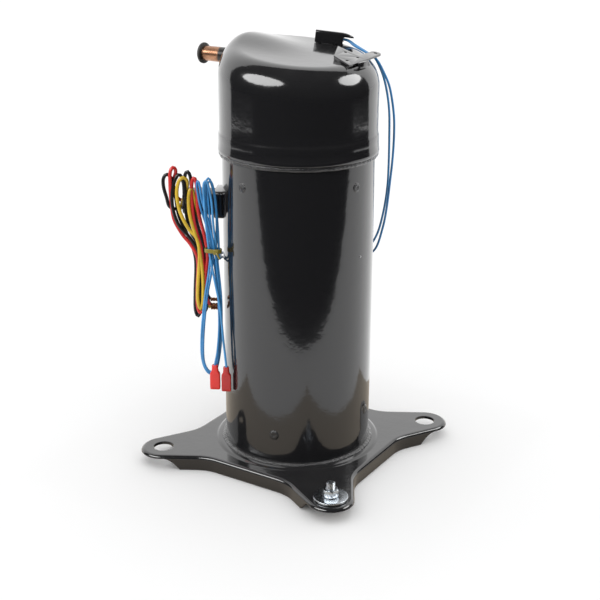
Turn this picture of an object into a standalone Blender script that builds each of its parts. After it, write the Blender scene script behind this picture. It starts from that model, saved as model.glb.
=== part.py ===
"""Hermetic scroll compressor on a star-shaped foot plate, built as separate pieces.

Metres, +Z up. Origin: centre of the foot plate's outline, on the surface that it stands on.
+X points away from the discharge stub, which leaves the cap along -X.
"""
import bpy
import bmesh
import math
from mathutils import Vector, Matrix

MM = 0.001

# ---------------------------------------------------------------- driving dimensions (metres)
HOLE_HALF = 0.09525        # half of the 190.5 mm square of mounting holes
HOLE_R = 0.009525          # mounting hole radius
FOOT_R = 0.0218            # foot tip radius
PLATE_TOP = 0.0145         # top of the foot plate
PLATE_T = 0.0030           # sheet thickness
PLATE_HALF = 0.0915        # straight side of the plate
PLATE_KINK = 0.0455        # where the straight side bends towards a foot
CENTRE_R = 0.0630          # hole under the shell
SHELL_R = 0.0710           # shell outside radius
SHELL_RI = 0.0676          # shell inside radius
SHELL_Z0, SHELL_Z1 = 0.0148, 0.3165
CAP_R = 0.0732             # cap outside radius
CAP_Z0 = 0.3052            # lower rim of the cap
CAP_T = 0.0027
ORBIT = 0.0040             # orbit radius of the orbiting scroll
PITCH = 0.0140             # scroll wrap pitch
WRAP_T = 0.0027            # wrap thickness
WRAP_A = PITCH / (2 * math.pi)
WRAP_START, WRAP_END = 3.7, 19.3     # involute angles, radians
GAP = 0.0003
PLUG_AZ = math.radians(208)          # direction of the power plug
SUCTION_AZ = math.radians(122)
TERMINAL_Z = 0.2535
SUCTION_Z = 0.2320
DISCHARGE_Z = 0.3845

for ob in list(bpy.data.objects):
    bpy.data.objects.remove(ob, do_unlink=True)

PARTS = bpy.data.collections.new("scroll_compressor")
CUTTERS = bpy.data.collections.new("cutters")
bpy.context.scene.collection.children.link(PARTS)
bpy.context.scene.collection.children.link(CUTTERS)

# ---------------------------------------------------------------- materials


def material(name, rgb, rough, metal=0.0):
    m = bpy.data.materials.new(name)
    m.use_nodes = True
    b = m.node_tree.nodes["Principled BSDF"]
    b.inputs["Base Color"].default_value = (*rgb, 1)
    b.inputs["Roughness"].default_value = rough
    b.inputs["Metallic"].default_value = metal
    return m


COL = {
    "enamel": ((0.012, 0.012, 0.014), 0.18, 0.0), "zinc": ((0.62, 0.64, 0.66), 0.35, 1.0),
    "copper": ((0.62, 0.30, 0.16), 0.3, 1.0), "rubber": ((0.015, 0.015, 0.015), 0.7, 0.0),
    "steel": ((0.45, 0.45, 0.46), 0.35, 1.0), "iron": ((0.22, 0.22, 0.22), 0.55, 0.8),
    "alu": ((0.7, 0.7, 0.72), 0.35, 1.0), "lamination": ((0.28, 0.29, 0.31), 0.45, 0.9),
    "winding": ((0.42, 0.14, 0.05), 0.45, 0.5), "bronze": ((0.55, 0.38, 0.16), 0.4, 1.0),
    "plastic": ((0.02, 0.02, 0.022), 0.45, 0.0), "blue": ((0.03, 0.16, 0.5), 0.4, 0.0),
    "red": ((0.6, 0.02, 0.02), 0.4, 0.0), "mixed": ((0.06, 0.04, 0.02), 0.45, 0.0),
    "yellow": ((0.5, 0.38, 0.06), 0.4, 0.0), "magnet": ((0.08, 0.08, 0.09), 0.5, 0.5),
}


def own_material(name, key):
    rgb, rough, metal = COL[key]
    return material(name + "_mat", rgb, rough, metal)


# ---------------------------------------------------------------- helpers


def place(ob, coll):
    for c in list(ob.users_collection):
        c.objects.unlink(ob)
    coll.objects.link(ob)


def part(ob, name, key):
    ob.name = name
    ob.data.name = name
    ob.data.materials.clear()
    ob.data.materials.append(own_material(name, key))
    place(ob, PARTS)
    if ob.type == "MESH" and len(ob.data.polygons):
        ob.data.shade_smooth()
        ob.data.set_sharp_from_angle(angle=math.radians(35))
    return ob


def as_cutter(ob, name):
    ob.name = name
    place(ob, CUTTERS)
    ob.hide_render = True
    ob.display_type = "WIRE"
    return ob


def boolean(ob, other, op="DIFFERENCE"):
    m = ob.modifiers.new("bool_" + other.name, "BOOLEAN")
    m.operation = op
    m.solver = "EXACT"
    m.object = other
    return m


def lathe_object(name, prof_mm, steps=48, origin=(0, 0, 0), rot=None, base=None):
    """Turned shape. prof_mm: (r, z) points in mm; a profile that meets the axis starts and ends there."""
    pts = list(prof_mm)
    area = sum(pts[i][0] * pts[(i + 1) % len(pts)][1] - pts[(i + 1) % len(pts)][0] * pts[i][1] for i in range(len(pts)))
    if area > 0:
        pts.reverse()
    closed = not (pts[0][0] == 0 and pts[-1][0] == 0)
    me = bpy.data.meshes.new(name)
    n = len(pts)
    edges = [(i, i + 1) for i in range(n - 1)] + ([(n - 1, 0)] if closed else [])
    me.from_pydata([(r * MM, 0, z * MM) for r, z in pts], edges, [])
    ob = bpy.data.objects.new(name, me)
    CUTTERS.objects.link(ob)
    s = ob.modifiers.new("turn", "SCREW")
    s.axis = "Z"
    s.angle = 2 * math.pi
    s.steps = steps
    s.render_steps = steps
    s.use_merge_vertices = True
    s.merge_threshold = 0.00001
    s.use_smooth_shade = True
    ob.location = origin
    if rot is not None:
        ob.rotation_mode = "QUATERNION"
        ob.rotation_quaternion = rot
    return ob


def lathe(name, prof_mm, key, steps=48, origin=(0, 0, 0), rot=None):
    return part(lathe_object(name, prof_mm, steps, origin, rot), name, key)


def to_mesh(ob):
    """Evaluated mesh of an object, welded, under the same name and place."""
    bpy.context.view_layer.update()
    dg = bpy.context.evaluated_depsgraph_get()
    me = bpy.data.meshes.new_from_object(ob.evaluated_get(dg))
    bm = bmesh.new()
    bm.from_mesh(me)
    bmesh.ops.remove_doubles(bm, verts=bm.verts, dist=0.000005)
    bm.to_mesh(me)
    bm.free()
    new = bpy.data.objects.new(ob.name + "_m", me)
    new.matrix_world = ob.matrix_world.copy()
    CUTTERS.objects.link(new)
    name = ob.name
    bpy.data.objects.remove(ob, do_unlink=True)
    new.name = name
    return new


def circle(cx, cy, r, n):
    return [(cx + r * math.cos(2 * math.pi * i / n), cy + r * math.sin(2 * math.pi * i / n)) for i in range(n)]


def outline_solid(name, pts, half, matrix=None, holes=()):
    """Flat outline (local XY, metres) extruded by half each way along local Z, as a welded mesh."""
    cu = bpy.data.curves.new(name, "CURVE")
    cu.dimensions = "2D"
    cu.fill_mode = "BOTH"
    cu.extrude = half
    for loop in (pts, *holes):
        sp = cu.splines.new("POLY")
        sp.points.add(len(loop) - 1)
        for p, q in zip(sp.points, loop):
            p.co = (q[0], q[1], 0, 1)
        sp.use_cyclic_u = True
    ob = bpy.data.objects.new(name, cu)
    CUTTERS.objects.link(ob)
    if matrix is not None:
        ob.matrix_world = matrix
    return to_mesh(ob)


def box(name, centre, size, matrix=None):
    bpy.ops.mesh.primitive_cube_add(size=1, location=(0, 0, 0))
    ob = bpy.context.object
    ob.data.transform(Matrix.Diagonal((*size, 1)))
    ob.matrix_world = (matrix or Matrix.Identity(4)) @ Matrix.Translation(centre)
    ob.name = name
    place(ob, CUTTERS)
    return ob


def rod(name, start, end, r, n=24):
    a, b = Vector(start), Vector(end)
    d = b - a
    bpy.ops.mesh.primitive_cylinder_add(vertices=n, radius=r, depth=d.length, location=(0, 0, 0))
    ob = bpy.context.object
    ob.matrix_world = Matrix.Translation((a + b) / 2) @ Vector((0, 0, 1)).rotation_difference(d).to_matrix().to_4x4()
    ob.name = name
    place(ob, CUTTERS)
    return ob


def bevel(ob, width, segments=2, angle=35):
    m = ob.modifiers.new("round", "BEVEL")
    m.width = width
    m.segments = segments
    m.limit_method = "ANGLE"
    m.angle_limit = math.radians(angle)
    return m


def smooth_route(ctrl, step):
    """Points about `step` apart on a Catmull-Rom curve through the control points."""
    p = [Vector(c) for c in ctrl]
    p = [p[0] * 2 - p[1]] + p + [p[-1] * 2 - p[-2]]
    dense = []
    for i in range(1, len(p) - 2):
        a, b, c, d = p[i - 1:i + 3]
        for k in range(16):
            t = k / 16
            dense.append(0.5 * ((2 * b) + (c - a) * t + (2 * a - 5 * b + 4 * c - d) * t * t + (3 * b - a - 3 * c + d) * t ** 3))
    dense.append(p[-2])
    total = sum((dense[i + 1] - dense[i]).length for i in range(len(dense) - 1))
    n = max(2, round(total / step))
    out, acc, i = [dense[0]], 0.0, 0
    for k in range(1, n):
        want = total * k / n
        while acc + (dense[i + 1] - dense[i]).length < want:
            acc += (dense[i + 1] - dense[i]).length
            i += 1
        out.append(dense[i].lerp(dense[i + 1], (want - acc) / (dense[i + 1] - dense[i]).length))
    out.append(dense[-1])
    return out


def tube(name, ctrl, dia, key, step=None, res=1):
    pts = smooth_route(ctrl, step or 3 * dia)
    cu = bpy.data.curves.new(name, "CURVE")
    cu.dimensions = "3D"
    cu.bevel_depth = dia / 2
    cu.bevel_resolution = res
    cu.use_fill_caps = True
    sp = cu.splines.new("POLY")
    sp.points.add(len(pts) - 1)
    for p, q in zip(sp.points, pts):
        p.co = (*q, 1)
    ob = bpy.data.objects.new(name, cu)
    CUTTERS.objects.link(ob)
    return part(to_mesh(ob), name, key)


def frame_at(origin, x_dir, z_dir):
    z = Vector(z_dir).normalized()
    x = (Vector(x_dir) - z * Vector(x_dir).dot(z)).normalized()
    y = z.cross(x)
    m = Matrix((x, y, z)).transposed().to_4x4()
    m.translation = Vector(origin)
    return m


def radial(az):
    return Vector((math.cos(az), math.sin(az), 0))


ER = radial(PLUG_AZ)                     # out of the shell at the plug
ET = radial(PLUG_AZ + math.pi / 2)       # sideways, towards the front


def plug_point(u, v, z):
    """u out from the shell axis along the plug, v sideways, z up; all in mm."""
    return ER * (u * MM) + ET * (v * MM) + Vector((0, 0, z * MM))


PLUG_FRAME = Matrix((ER, ET, Vector((0, 0, 1)))).transposed().to_4x4()

# ---------------------------------------------------------------- cap form
CAP_H0, CAP_TILT_X, CAP_TILT_Y, CAP_CROWN = 0.3953, 0.1123, 0.0471, 0.0012
HUMP_H, HUMP_X, HUMP_SX, HUMP_SY = 0.0063, 0.0517, 0.0308, 0.0184
SHOULDER_W, SHOULDER_H = 0.0205, 0.0257


def cap_height(x, y):
    """Height of the cap's top surface: a sloping crown, a hump at the discharge stub, a round shoulder."""
    t = (CAP_H0 - CAP_CROWN * (x * x + y * y) / 0.073 - CAP_TILT_X * x + CAP_TILT_Y * y
         + HUMP_H * math.exp(-((x + HUMP_X) ** 2 / (2 * HUMP_SX ** 2) + y * y / (2 * HUMP_SY ** 2))))
    s = min(1.0, max(0.0, (math.hypot(x, y) - (CAP_R - SHOULDER_W)) / SHOULDER_W))
    return t - SHOULDER_H * (1 - math.sqrt(max(0.0, 1 - s ** 2.2)))


def make_cap():
    fr_out = [0, 0.38, 0.62, 0.76, 0.86, 0.93, 0.975, 1.0]
    fr_in = [1.0, 0.96, 0.87, 0.65, 0]
    ri = CAP_R - CAP_T
    prof = [(CAP_R * f, 0.5 + 0.01 * (1 - f)) for f in fr_out]
    prof += [(CAP_R, 0.345), (CAP_R, 0.3087), (0.0744, 0.3080), (0.0744, CAP_Z0), (0.0714, CAP_Z0), (0.0714, 0.3208), (ri, 0.3230), (ri, 0.345)]
    prof += [(ri * f, 0.45 + 0.01 * (1 - f)) for f in fr_in]
    cap = lathe_object("top_cap", [(r / MM, z / MM) for r, z in prof], 44)
    cap = to_mesh(cap)
    k = CAP_R / ri
    for v in cap.data.vertices:
        x, y, z = v.co
        if z > 0.48:
            v.co.z = cap_height(x, y)
        elif z > 0.4:
            v.co.z = cap_height(x * k, y * k) - CAP_T
    cap = part(cap, "top_cap", "enamel")
    hole = as_cutter(rod("cut_discharge", (-0.060, 0, DISCHARGE_Z), (-0.085, 0, DISCHARGE_Z), 0.0072, 28), "cut_discharge")
    boolean(cap, hole)
    return cap


# ---------------------------------------------------------------- enclosure


def make_enclosure():
    shell = lathe("shell_tube", [(SHELL_RI / MM, SHELL_Z1 / MM), (71.0, SHELL_Z1 / MM), (71.0, SHELL_Z0 / MM), (SHELL_RI / MM, SHELL_Z0 / MM)], "enamel", 48)
    t = Vector((0, 0, TERMINAL_Z))
    boolean(shell, as_cutter(rod("cut_terminal", ER * 0.055 + t, ER * 0.085 + t, 0.0130, 28), "cut_terminal"))
    s = Vector((0, 0, SUCTION_Z))
    e = radial(SUCTION_AZ)
    boolean(shell, as_cutter(rod("cut_suction", e * 0.055 + s, e * 0.085 + s, 0.0114, 28), "cut_suction"))
    make_cap()
    lathe("bottom_cap", [(0, 5.6), (30, 7.6), (54, 13.6), (62, 19.2), (64.4, 25), (64.4, 34), (67.3, 34),
                         (67.3, 24), (64.5, 16.2), (56, 11.2), (30, 5.0), (0, 2.8)], "enamel", 36)


def plate_outline(inset=0.0):
    """Star outline, counter-clockwise, with straight sides, kinks and round feet."""
    r = FOOT_R - inset
    hx, hy = HOLE_HALF, -HOLE_HALF
    kx, ky = PLATE_KINK, -PLATE_HALF
    d = math.hypot(hx - kx, hy - ky)
    flare = math.atan2(hy - ky, hx - kx) - math.asin(FOOT_R / d)
    n = Vector((-math.sin(flare), math.cos(flare)))          # inward normal of the flare line
    # kink of the inset outline: straight side moved in, flare line moved in
    py = ky + inset
    p0 = Vector((kx, ky)) + n * inset
    kink = Vector((p0.x + (py - p0.y) / math.tan(flare), py))
    tang = Vector((hx, hy)) - n * r
    a0 = math.atan2(tang.y - hy, tang.x - hx)
    quarter = [kink, tang]
    a1 = -math.pi / 2 - a0 + 0.0
    steps = 10
    for i in range(1, steps):
        a = a0 + (a1 - a0) * i / steps
        quarter.append(Vector((hx + r * math.cos(a), hy + r * math.sin(a))))
    mirror = [Vector((-p.y, -p.x)) for p in (tang, kink)]
    quarter += mirror
    out = []
    for q in range(4):
        c, s = math.cos(q * math.pi / 2), math.sin(q * math.pi / 2)
        out += [(p.x * c - p.y * s, p.x * s + p.y * c) for p in quarter]
    return out


def make_base_plate():
    body_h = 0.0112
    centres = [(0, 0, CENTRE_R, 36)] + [(sx * HOLE_HALF, sy * HOLE_HALF, HOLE_R, 20) for sx in (-1, 1) for sy in (-1, 1)]
    holes = [circle(*c) for c in centres]
    plate = outline_solid("base_plate", plate_outline(), body_h / 2, Matrix.Translation((0, 0, body_h / 2)), holes)
    bm = bmesh.new()
    bm.from_mesh(plate.data)
    for thick, depth in ((0.0009, 0.0022), (0.0022, 0.0011)):
        top = [f for f in bm.faces if f.normal.z > 0.95 and f.calc_center_median().z > max(v.co.z for v in bm.verts) - 0.0001]
        bmesh.ops.inset_region(bm, faces=top, thickness=thick, depth=depth, use_even_offset=False)
        bm.normal_update()
    for v in bm.verts:                     # only the outer edge is rounded: holes stay straight
        for cx, cy, hole_r, _ in centres:
            d = Vector((v.co.x - cx, v.co.y - cy))
            if d.length < hole_r + 0.005:
                d *= hole_r / d.length
                v.co.x, v.co.y = cx + d.x, cy + d.y
    bm.to_mesh(plate.data)
    bm.free()
    top_z = body_h / 2 + max(v.co.z for v in plate.data.vertices)
    plate = part(plate, "base_plate", "enamel")
    pocket = outline_solid("cut_pocket", plate_outline(PLATE_T), 0.0060, Matrix.Translation((0, 0, PLATE_TOP - PLATE_T - 0.0060)))
    boolean(plate, as_cutter(pocket, "cut_pocket"))
    for i in range(4):
        a = math.radians(45 + 90 * i)
        e = radial(a)
        # the down-turned flange ends in a slope before the foot tip
        wedge = [(0.119, -0.002), (0.170, -0.002), (0.170, 0.01165), (0.1335, 0.01165)]
        m = Matrix((e, Vector((0, 0, 1)), e.cross(Vector((0, 0, 1))))).transposed().to_4x4()
        boolean(plate, as_cutter(outline_solid("cut_tip_%d" % i, wedge, 0.040, m), "cut_tip_%d" % i))
    return top_z


def make_fasteners():
    c = (HOLE_HALF, -HOLE_HALF, 0)
    lathe("hold_down_bolt", [(0, 30.5), (3.4, 30.5), (4.0, 29.8), (4.0, 11.1), (12.8, 11.1), (12.8, 9.6), (7.5, 8.0), (7.5, 4.0), (6.8, 3.3), (0, 3.3)], "zinc", 24, c)
    lathe("hold_down_washer", [(4.4, 16.8), (15.6, 16.8), (16, 16.4), (16, 14.9), (4.4, 14.9)], "zinc", 36, c)
    r = 7.5 * MM
    hexa = [(r * math.cos(math.radians(60 * i + 12)), r * math.sin(math.radians(60 * i + 12))) for i in range(6)]
    nut = outline_solid("hold_down_nut", hexa, 0.0034, Matrix.Translation((HOLE_HALF, -HOLE_HALF, 0.0205)))
    nut = part(nut, "hold_down_nut", "zinc")
    boolean(nut, as_cutter(rod("cut_nut", (HOLE_HALF, -HOLE_HALF, 0.01), (HOLE_HALF, -HOLE_HALF, 0.04), 0.0043, 20), "cut_nut"))


# ---------------------------------------------------------------- refrigerant fittings


def make_fittings():
    to_x = Vector((0, 0, 1)).rotation_difference(Vector((-1, 0, 0)))
    o = (0, 0, DISCHARGE_Z)
    lathe("discharge_fitting", [(5.7, 66), (6.9, 66), (6.9, 73.9), (9.0, 73.9), (8.4, 76.5), (7.0, 78), (6.9, 104.5), (5.7, 104.5)], "copper", 24, o, to_x)
    lathe("discharge_plug", [(0, 93.5), (4.9, 93.5), (5.3, 94.5), (5.3, 104.8), (9.7, 104.8), (9.7, 106.8), (9.0, 107.4), (3.0, 107.4), (2.6, 110.5), (0, 110.8)], "rubber", 22, o, to_x)
    e = radial(SUCTION_AZ)
    to_s = Vector((0, 0, 1)).rotation_difference(e)
    o = (0, 0, SUCTION_Z)
    lathe("suction_fitting", [(9.9, 66.0), (11.0, 66.0), (11.0, 71.6), (14.0, 71.6), (13.2, 74.5), (11.1, 76.5), (11.0, 100), (9.9, 100)], "copper", 28, o, to_s)
    lathe("suction_plug", [(0, 88), (9.0, 88), (9.4, 89), (9.4, 100.3), (14.2, 100.3), (14.2, 102.4), (13.5, 103), (4, 103), (3.5, 106), (0, 106.4)], "rubber", 24, o, to_s)


# ---------------------------------------------------------------- terminal, plug, thermostat, bracket


def make_terminal():
    z = TERMINAL_Z / MM
    out = Vector((0, 0, 1)).rotation_difference(ER)
    term = lathe("hermetic_terminal", [(0, 66.5), (9.5, 66.5), (12.5, 65.8), (12.5, 69.7), (0, 69.7)], "steel", 28, (0, 0, TERMINAL_Z), out)
    plug = box("molded_plug", (90.2 * MM, 0, TERMINAL_Z), (36.0 * MM, 26.4 * MM, 20.4 * MM), PLUG_FRAME)
    plug = part(plug, "molded_plug", "plastic")
    bevel(plug, 0.0030, 2)
    for i in range(3):
        a = math.radians(90 + 120 * i)
        v, dz = 6.2 * math.cos(a), 6.2 * math.sin(a)
        pin = rod("pin_%d" % i, plug_point(60, v, z + dz), plug_point(84, v, z + dz), 0.0016, 12)
        boolean(term, as_cutter(pin, "pin_%d" % i), "UNION")
        hole = rod("pin_hole_%d" % i, plug_point(70, v, z + dz), plug_point(86, v, z + dz), 0.0021, 12)
        boolean(plug, as_cutter(hole, "pin_hole_%d" % i))
    fence = box("terminal_fence", (74.0 * MM, 0, TERMINAL_Z), (8.0 * MM, 31.0 * MM, 26.0 * MM), PLUG_FRAME)
    fence = part(fence, "terminal_fence", "enamel")
    boolean(fence, as_cutter(box("cut_fence", (74.0 * MM, 0, TERMINAL_Z), (20 * MM, 27.4 * MM, 21.4 * MM), PLUG_FRAME), "cut_fence"))
    boolean(fence, as_cutter(rod("cut_fence_shell", (0, 0, 0.2), (0, 0, 0.3), 0.07135, 96), "cut_fence_shell"))
    tube("internal_leads", [plug_point(59.4, 0, z - 3), plug_point(56, 0, z - 6), plug_point(52, 0, z - 20), plug_point(51, 0, 212.2)], 0.0044, "plastic", 0.006)


COVER_AZ = math.radians(26)


def cover_frame():
    """Local frame of the thermostat cover: x along the channel, z out of the cap."""
    x = Vector((math.cos(COVER_AZ), math.sin(COVER_AZ), -0.10)).normalized()
    z = Vector((0, 0, 1)) + Vector((-math.sin(COVER_AZ), math.cos(COVER_AZ), 0)) * 0.10
    m = frame_at((0.003, 0.0480, 0.400), x, z - x * z.dot(x))
    # seat it just above the cap
    low = 1.0
    for i in range(-13, 14, 2):
        for j in range(-8, 9, 2):
            p = m @ Vector((i * MM, j * MM, 0))
            low = min(low, p.z - cap_height(p.x, p.y))
    m.translation.z += 0.0004 - low
    return m


def make_thermostat():
    m = cover_frame()
    w, h, t, half = 0.0072, 0.0086, 0.0011, 0.0130
    skirt = -0.0024        # the front wall reaches down to the falling cap
    u = [(-w, skirt), (-w, h), (w, h), (w, 0), (w - t, 0), (w - t, h - t), (-w + t, h - t), (-w + t, skirt)]
    # outline in local (y, z), pushed along local x
    rot = Matrix(((0, 0, 1, 0), (1, 0, 0, 0), (0, 1, 0, 0), (0, 0, 0, 1)))
    cover = part(outline_solid("thermostat_cover", u, half, m @ rot), "thermostat_cover", "enamel")
    tongue = [(0.010, -0.0050), (0.019, -0.0050), (0.0215, -0.0035), (0.0225, 0), (0.0215, 0.0035), (0.019, 0.0050), (0.010, 0.0050)]
    lift = Matrix.Translation((0, 0, h - t / 2))
    boolean(cover, as_cutter(outline_solid("cover_tongue", tongue, t * 0.45, m @ lift), "cover_tongue"), "UNION")
    body = lathe_object("discharge_thermostat", [(0, 5.6), (4.4, 5.6), (5.0, 5.0), (5.0, 2.2), (5.7, 2.0), (5.7, 0.4), (0, 0.4)], 24)
    body.matrix_world = m @ Matrix.Translation((-0.002, 0, 0))
    part(body, "discharge_thermostat", "steel")
    return m


def bracket_plane(x, y):
    return 0.4023 - 0.22 * x + 0.05 * (y + 0.004)


def make_bracket():
    z_dir = Vector((0.22, -0.05, 1))
    m = frame_at((0.046, 0.006, bracket_plane(0.046, 0.006)), (1, 0, 0), z_dir)
    inv = m.inverted()

    def flat(x, y):
        p = inv @ Vector((x, y, bracket_plane(x, y)))
        return (p.x, p.y)
    pts = [(0.0387, -0.0043), (0.0599, -0.0142), (0.0612, 0.014), (0.0612, 0.0400)]
    for i in range(1, 7):
        a = math.pi * i / 7
        pts.append((0.0564 + 0.0048 * math.cos(a), 0.0400 + 0.0048 * math.sin(a)))
    pts += [(0.0516, 0.0400), (0.0505, 0.0215), (0.0480, 0.0190), (0.0258, 0.0243)]
    plate = part(outline_solid("bracket_plate", [flat(*p) for p in pts], 0.0008, m), "bracket_plate", "enamel")
    for i, (x, y) in enumerate([(0.0395, 0.0145), (0.0525, -0.0050), (0.0535, 0.0120)]):
        c = Vector((x, y, bracket_plane(x, y)))
        boolean(plate, as_cutter(rod("bracket_hole_%d" % i, c - z_dir * 0.005, c + z_dir * 0.005, 0.0014, 12), "bracket_hole_%d" % i))
    x0, x1, y0, y1 = 0.0627, 0.0653, -0.0040, 0.0100
    low = max(cap_height(x, y) for x in (x0, x1) for y in (y0, 0, 0.003, y1)) + GAP
    leg = box("bracket_leg", ((x0 + x1) / 2, (y0 + y1) / 2, (low + 0.3905) / 2), (x1 - x0, y1 - y0, 0.3905 - low))
    part(leg, "bracket_leg", "enamel")


# ---------------------------------------------------------------- scroll set


def wrap_outline(turn):
    """Both walls of an involute wrap; turn rotates it about its own centre."""
    def pt(phi, al):
        x = WRAP_A * (math.cos(phi) + (phi - al) * math.sin(phi))
        y = WRAP_A * (math.sin(phi) - (phi - al) * math.cos(phi))
        c, s = math.cos(turn), math.sin(turn)
        return (x * c - y * s, x * s + y * c)
    al = WRAP_T / (2 * WRAP_A)
    n = 60
    phis = [WRAP_START + (WRAP_END - WRAP_START) * i / n for i in range(n + 1)]
    return [pt(p, -al) for p in phis] + [pt(p, al) for p in reversed(phis)]


def make_scrolls():
    fixed = lathe_object("non_orbiting_scroll", [(5.0, 336), (19, 336), (19, 332), (35, 332), (35, 336), (62, 336), (62, 290.5), (51.6, 290.5), (51.6, 323.6), (5.0, 323.6)], 40)
    fixed = part(fixed, "non_orbiting_scroll", "iron")
    wrap = outline_solid("fixed_wrap", wrap_outline(0.0), 0.0125, Matrix.Translation((0, 0, 0.2996 + 0.0125)))
    boolean(fixed, as_cutter(wrap, "fixed_wrap"), "UNION")
    for i in range(4):
        c = radial(math.radians(45 + 90 * i)) * 0.058
        boolean(fixed, as_cutter(rod("fixed_hole_%d" % i, c + Vector((0, 0, 0.28)), c + Vector((0, 0, 0.35)), 0.0029, 16), "fixed_hole_%d" % i))
        hole = rod("housing_hole_%d" % i, c + Vector((0, 0, 0.2755)), c + Vector((0, 0, 0.30)), 0.0025, 16)
        as_cutter(hole, "housing_hole_%d" % i)
        lathe("scroll_bolt_%d" % (i + 1), [(0, 340.6), (4.2, 340.6), (4.2, 337.1), (2.2, 337.1), (2.2, 276.2), (0, 276.2)], "steel", 14, c)
    inlet = box("cut_inlet", (0.058, 0, 0.311), (0.020, 0.026, 0.018), Matrix.Rotation(math.radians(100), 4, "Z"))
    boolean(fixed, as_cutter(inlet, "cut_inlet"))

    c = (ORBIT, 0, 0)
    orb = lathe_object("orbiting_scroll", [(0, 299), (47, 299), (47, 290.4), (15, 290.4), (15, 268.5), (12.1, 268.5), (12.1, 289.8), (0, 289.8)], 40, c)
    orb = part(orb, "orbiting_scroll", "iron")
    wrap = outline_solid("orbiting_wrap", wrap_outline(math.pi), 0.0125, Matrix.Translation((ORBIT, 0, 0.3230 - 0.0125)))
    boolean(orb, as_cutter(wrap, "orbiting_wrap"), "UNION")
    for s in (-1, 1):
        slot = box("slot_%s" % ("a" if s > 0 else "b"), (0, s * 0.0425, 0.2930), (0.0252, 0.0170, 0.0060))
        boolean(orb, as_cutter(slot, slot.name))

    ring = lathe_object("oldham_ring", [(38.5, 289.2), (44.5, 289.2), (44.5, 284.0), (38.5, 284.0)], 32)
    ring = part(ring, "oldham_ring", "alu")
    for i, (x, y, z, sx, sy, sz) in enumerate([(0, 41.5, 291.5, 8, 6, 7), (0, -41.5, 291.5, 8, 6, 7), (41.5, 0, 281.5, 6, 8, 8), (-41.5, 0, 281.5, 6, 8, 8)]):
        key = box("key_%d" % i, (x * MM, y * MM, z * MM), (sx * MM, sy * MM, sz * MM))
        boolean(ring, as_cutter(key, "key_%d" % i), "UNION")

    lathe("drive_bush", [(8.8, 288.5), (11.7, 288.5), (11.7, 266.2), (8.8, 266.2)], "bronze", 36, c)
    lathe("floating_seal", [(19.6, 343), (34.4, 343), (34.4, 332.6), (31, 332.6), (31, 334.5), (23, 334.5), (23, 332.6), (19.6, 332.6)], "steel", 32)


def make_bearing_housing():
    h = lathe_object("main_bearing_housing", [(21, 290), (30, 290), (30, 283.5), (53.5, 283.5), (53.5, 290), (67.3, 290), (67.3, 272), (28, 254), (24.5, 250), (24.5, 230), (15.3, 230), (15.3, 264), (21, 264)], 40)
    h = part(h, "main_bearing_housing", "iron")
    for i in range(4):
        boolean(h, bpy.data.objects["housing_hole_%d" % i])
    for s in (-1, 1):
        cut = box("key_slot_%s" % ("a" if s > 0 else "b"), (s * 0.0417, 0, 0.2805), (0.0228, 0.0086, 0.0070))
        boolean(h, as_cutter(cut, cut.name))
    lathe("main_bearing_bush", [(12.8, 263.5), (15.0, 263.5), (15.0, 230.5), (12.8, 230.5)], "bronze", 36)


def make_head():
    lathe("muffler_plate", [(6.5, 350), (59.5, 350), (65.5, 346), (67, 339), (67, 319.8), (71.0, 319.8), (71.0, 316.8), (64.3, 316.8), (64.3, 338.5), (63.2, 343.0), (58, 346.8), (6.5, 346.8)], "steel", 36)
    lathe("valve_guide", [(5, 360), (12, 360), (12, 350.3), (8.6, 350.3), (8.6, 358), (5, 358)], "steel", 28)
    lathe("check_valve_disc", [(0, 352.4), (7.6, 352.4), (8.0, 352.0), (8.0, 350.5), (0, 350.5)], "steel", 24)
    lathe("relief_valve", [(0, 357), (3.6, 357), (3.6, 353), (4.6, 353), (4.6, 350.4), (0, 350.4)], "bronze", 16, (0.034, 0, 0))


# ---------------------------------------------------------------- motor and shaft


def half_weight(name, ri, ro, z0, z1, az, key):
    n = 20
    pts = [(ro * MM * math.cos(a), ro * MM * math.sin(a)) for a in [az - math.pi / 2 + math.pi * i / n for i in range(n + 1)]]
    pts += [(ri * MM * math.cos(a), ri * MM * math.sin(a)) for a in [az + math.pi / 2 - math.pi * i / n for i in range(n + 1)]]
    return part(outline_solid(name, pts, (z1 - z0) / 2 * MM, Matrix.Translation((0, 0, (z0 + z1) / 2 * MM))), name, key)


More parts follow.
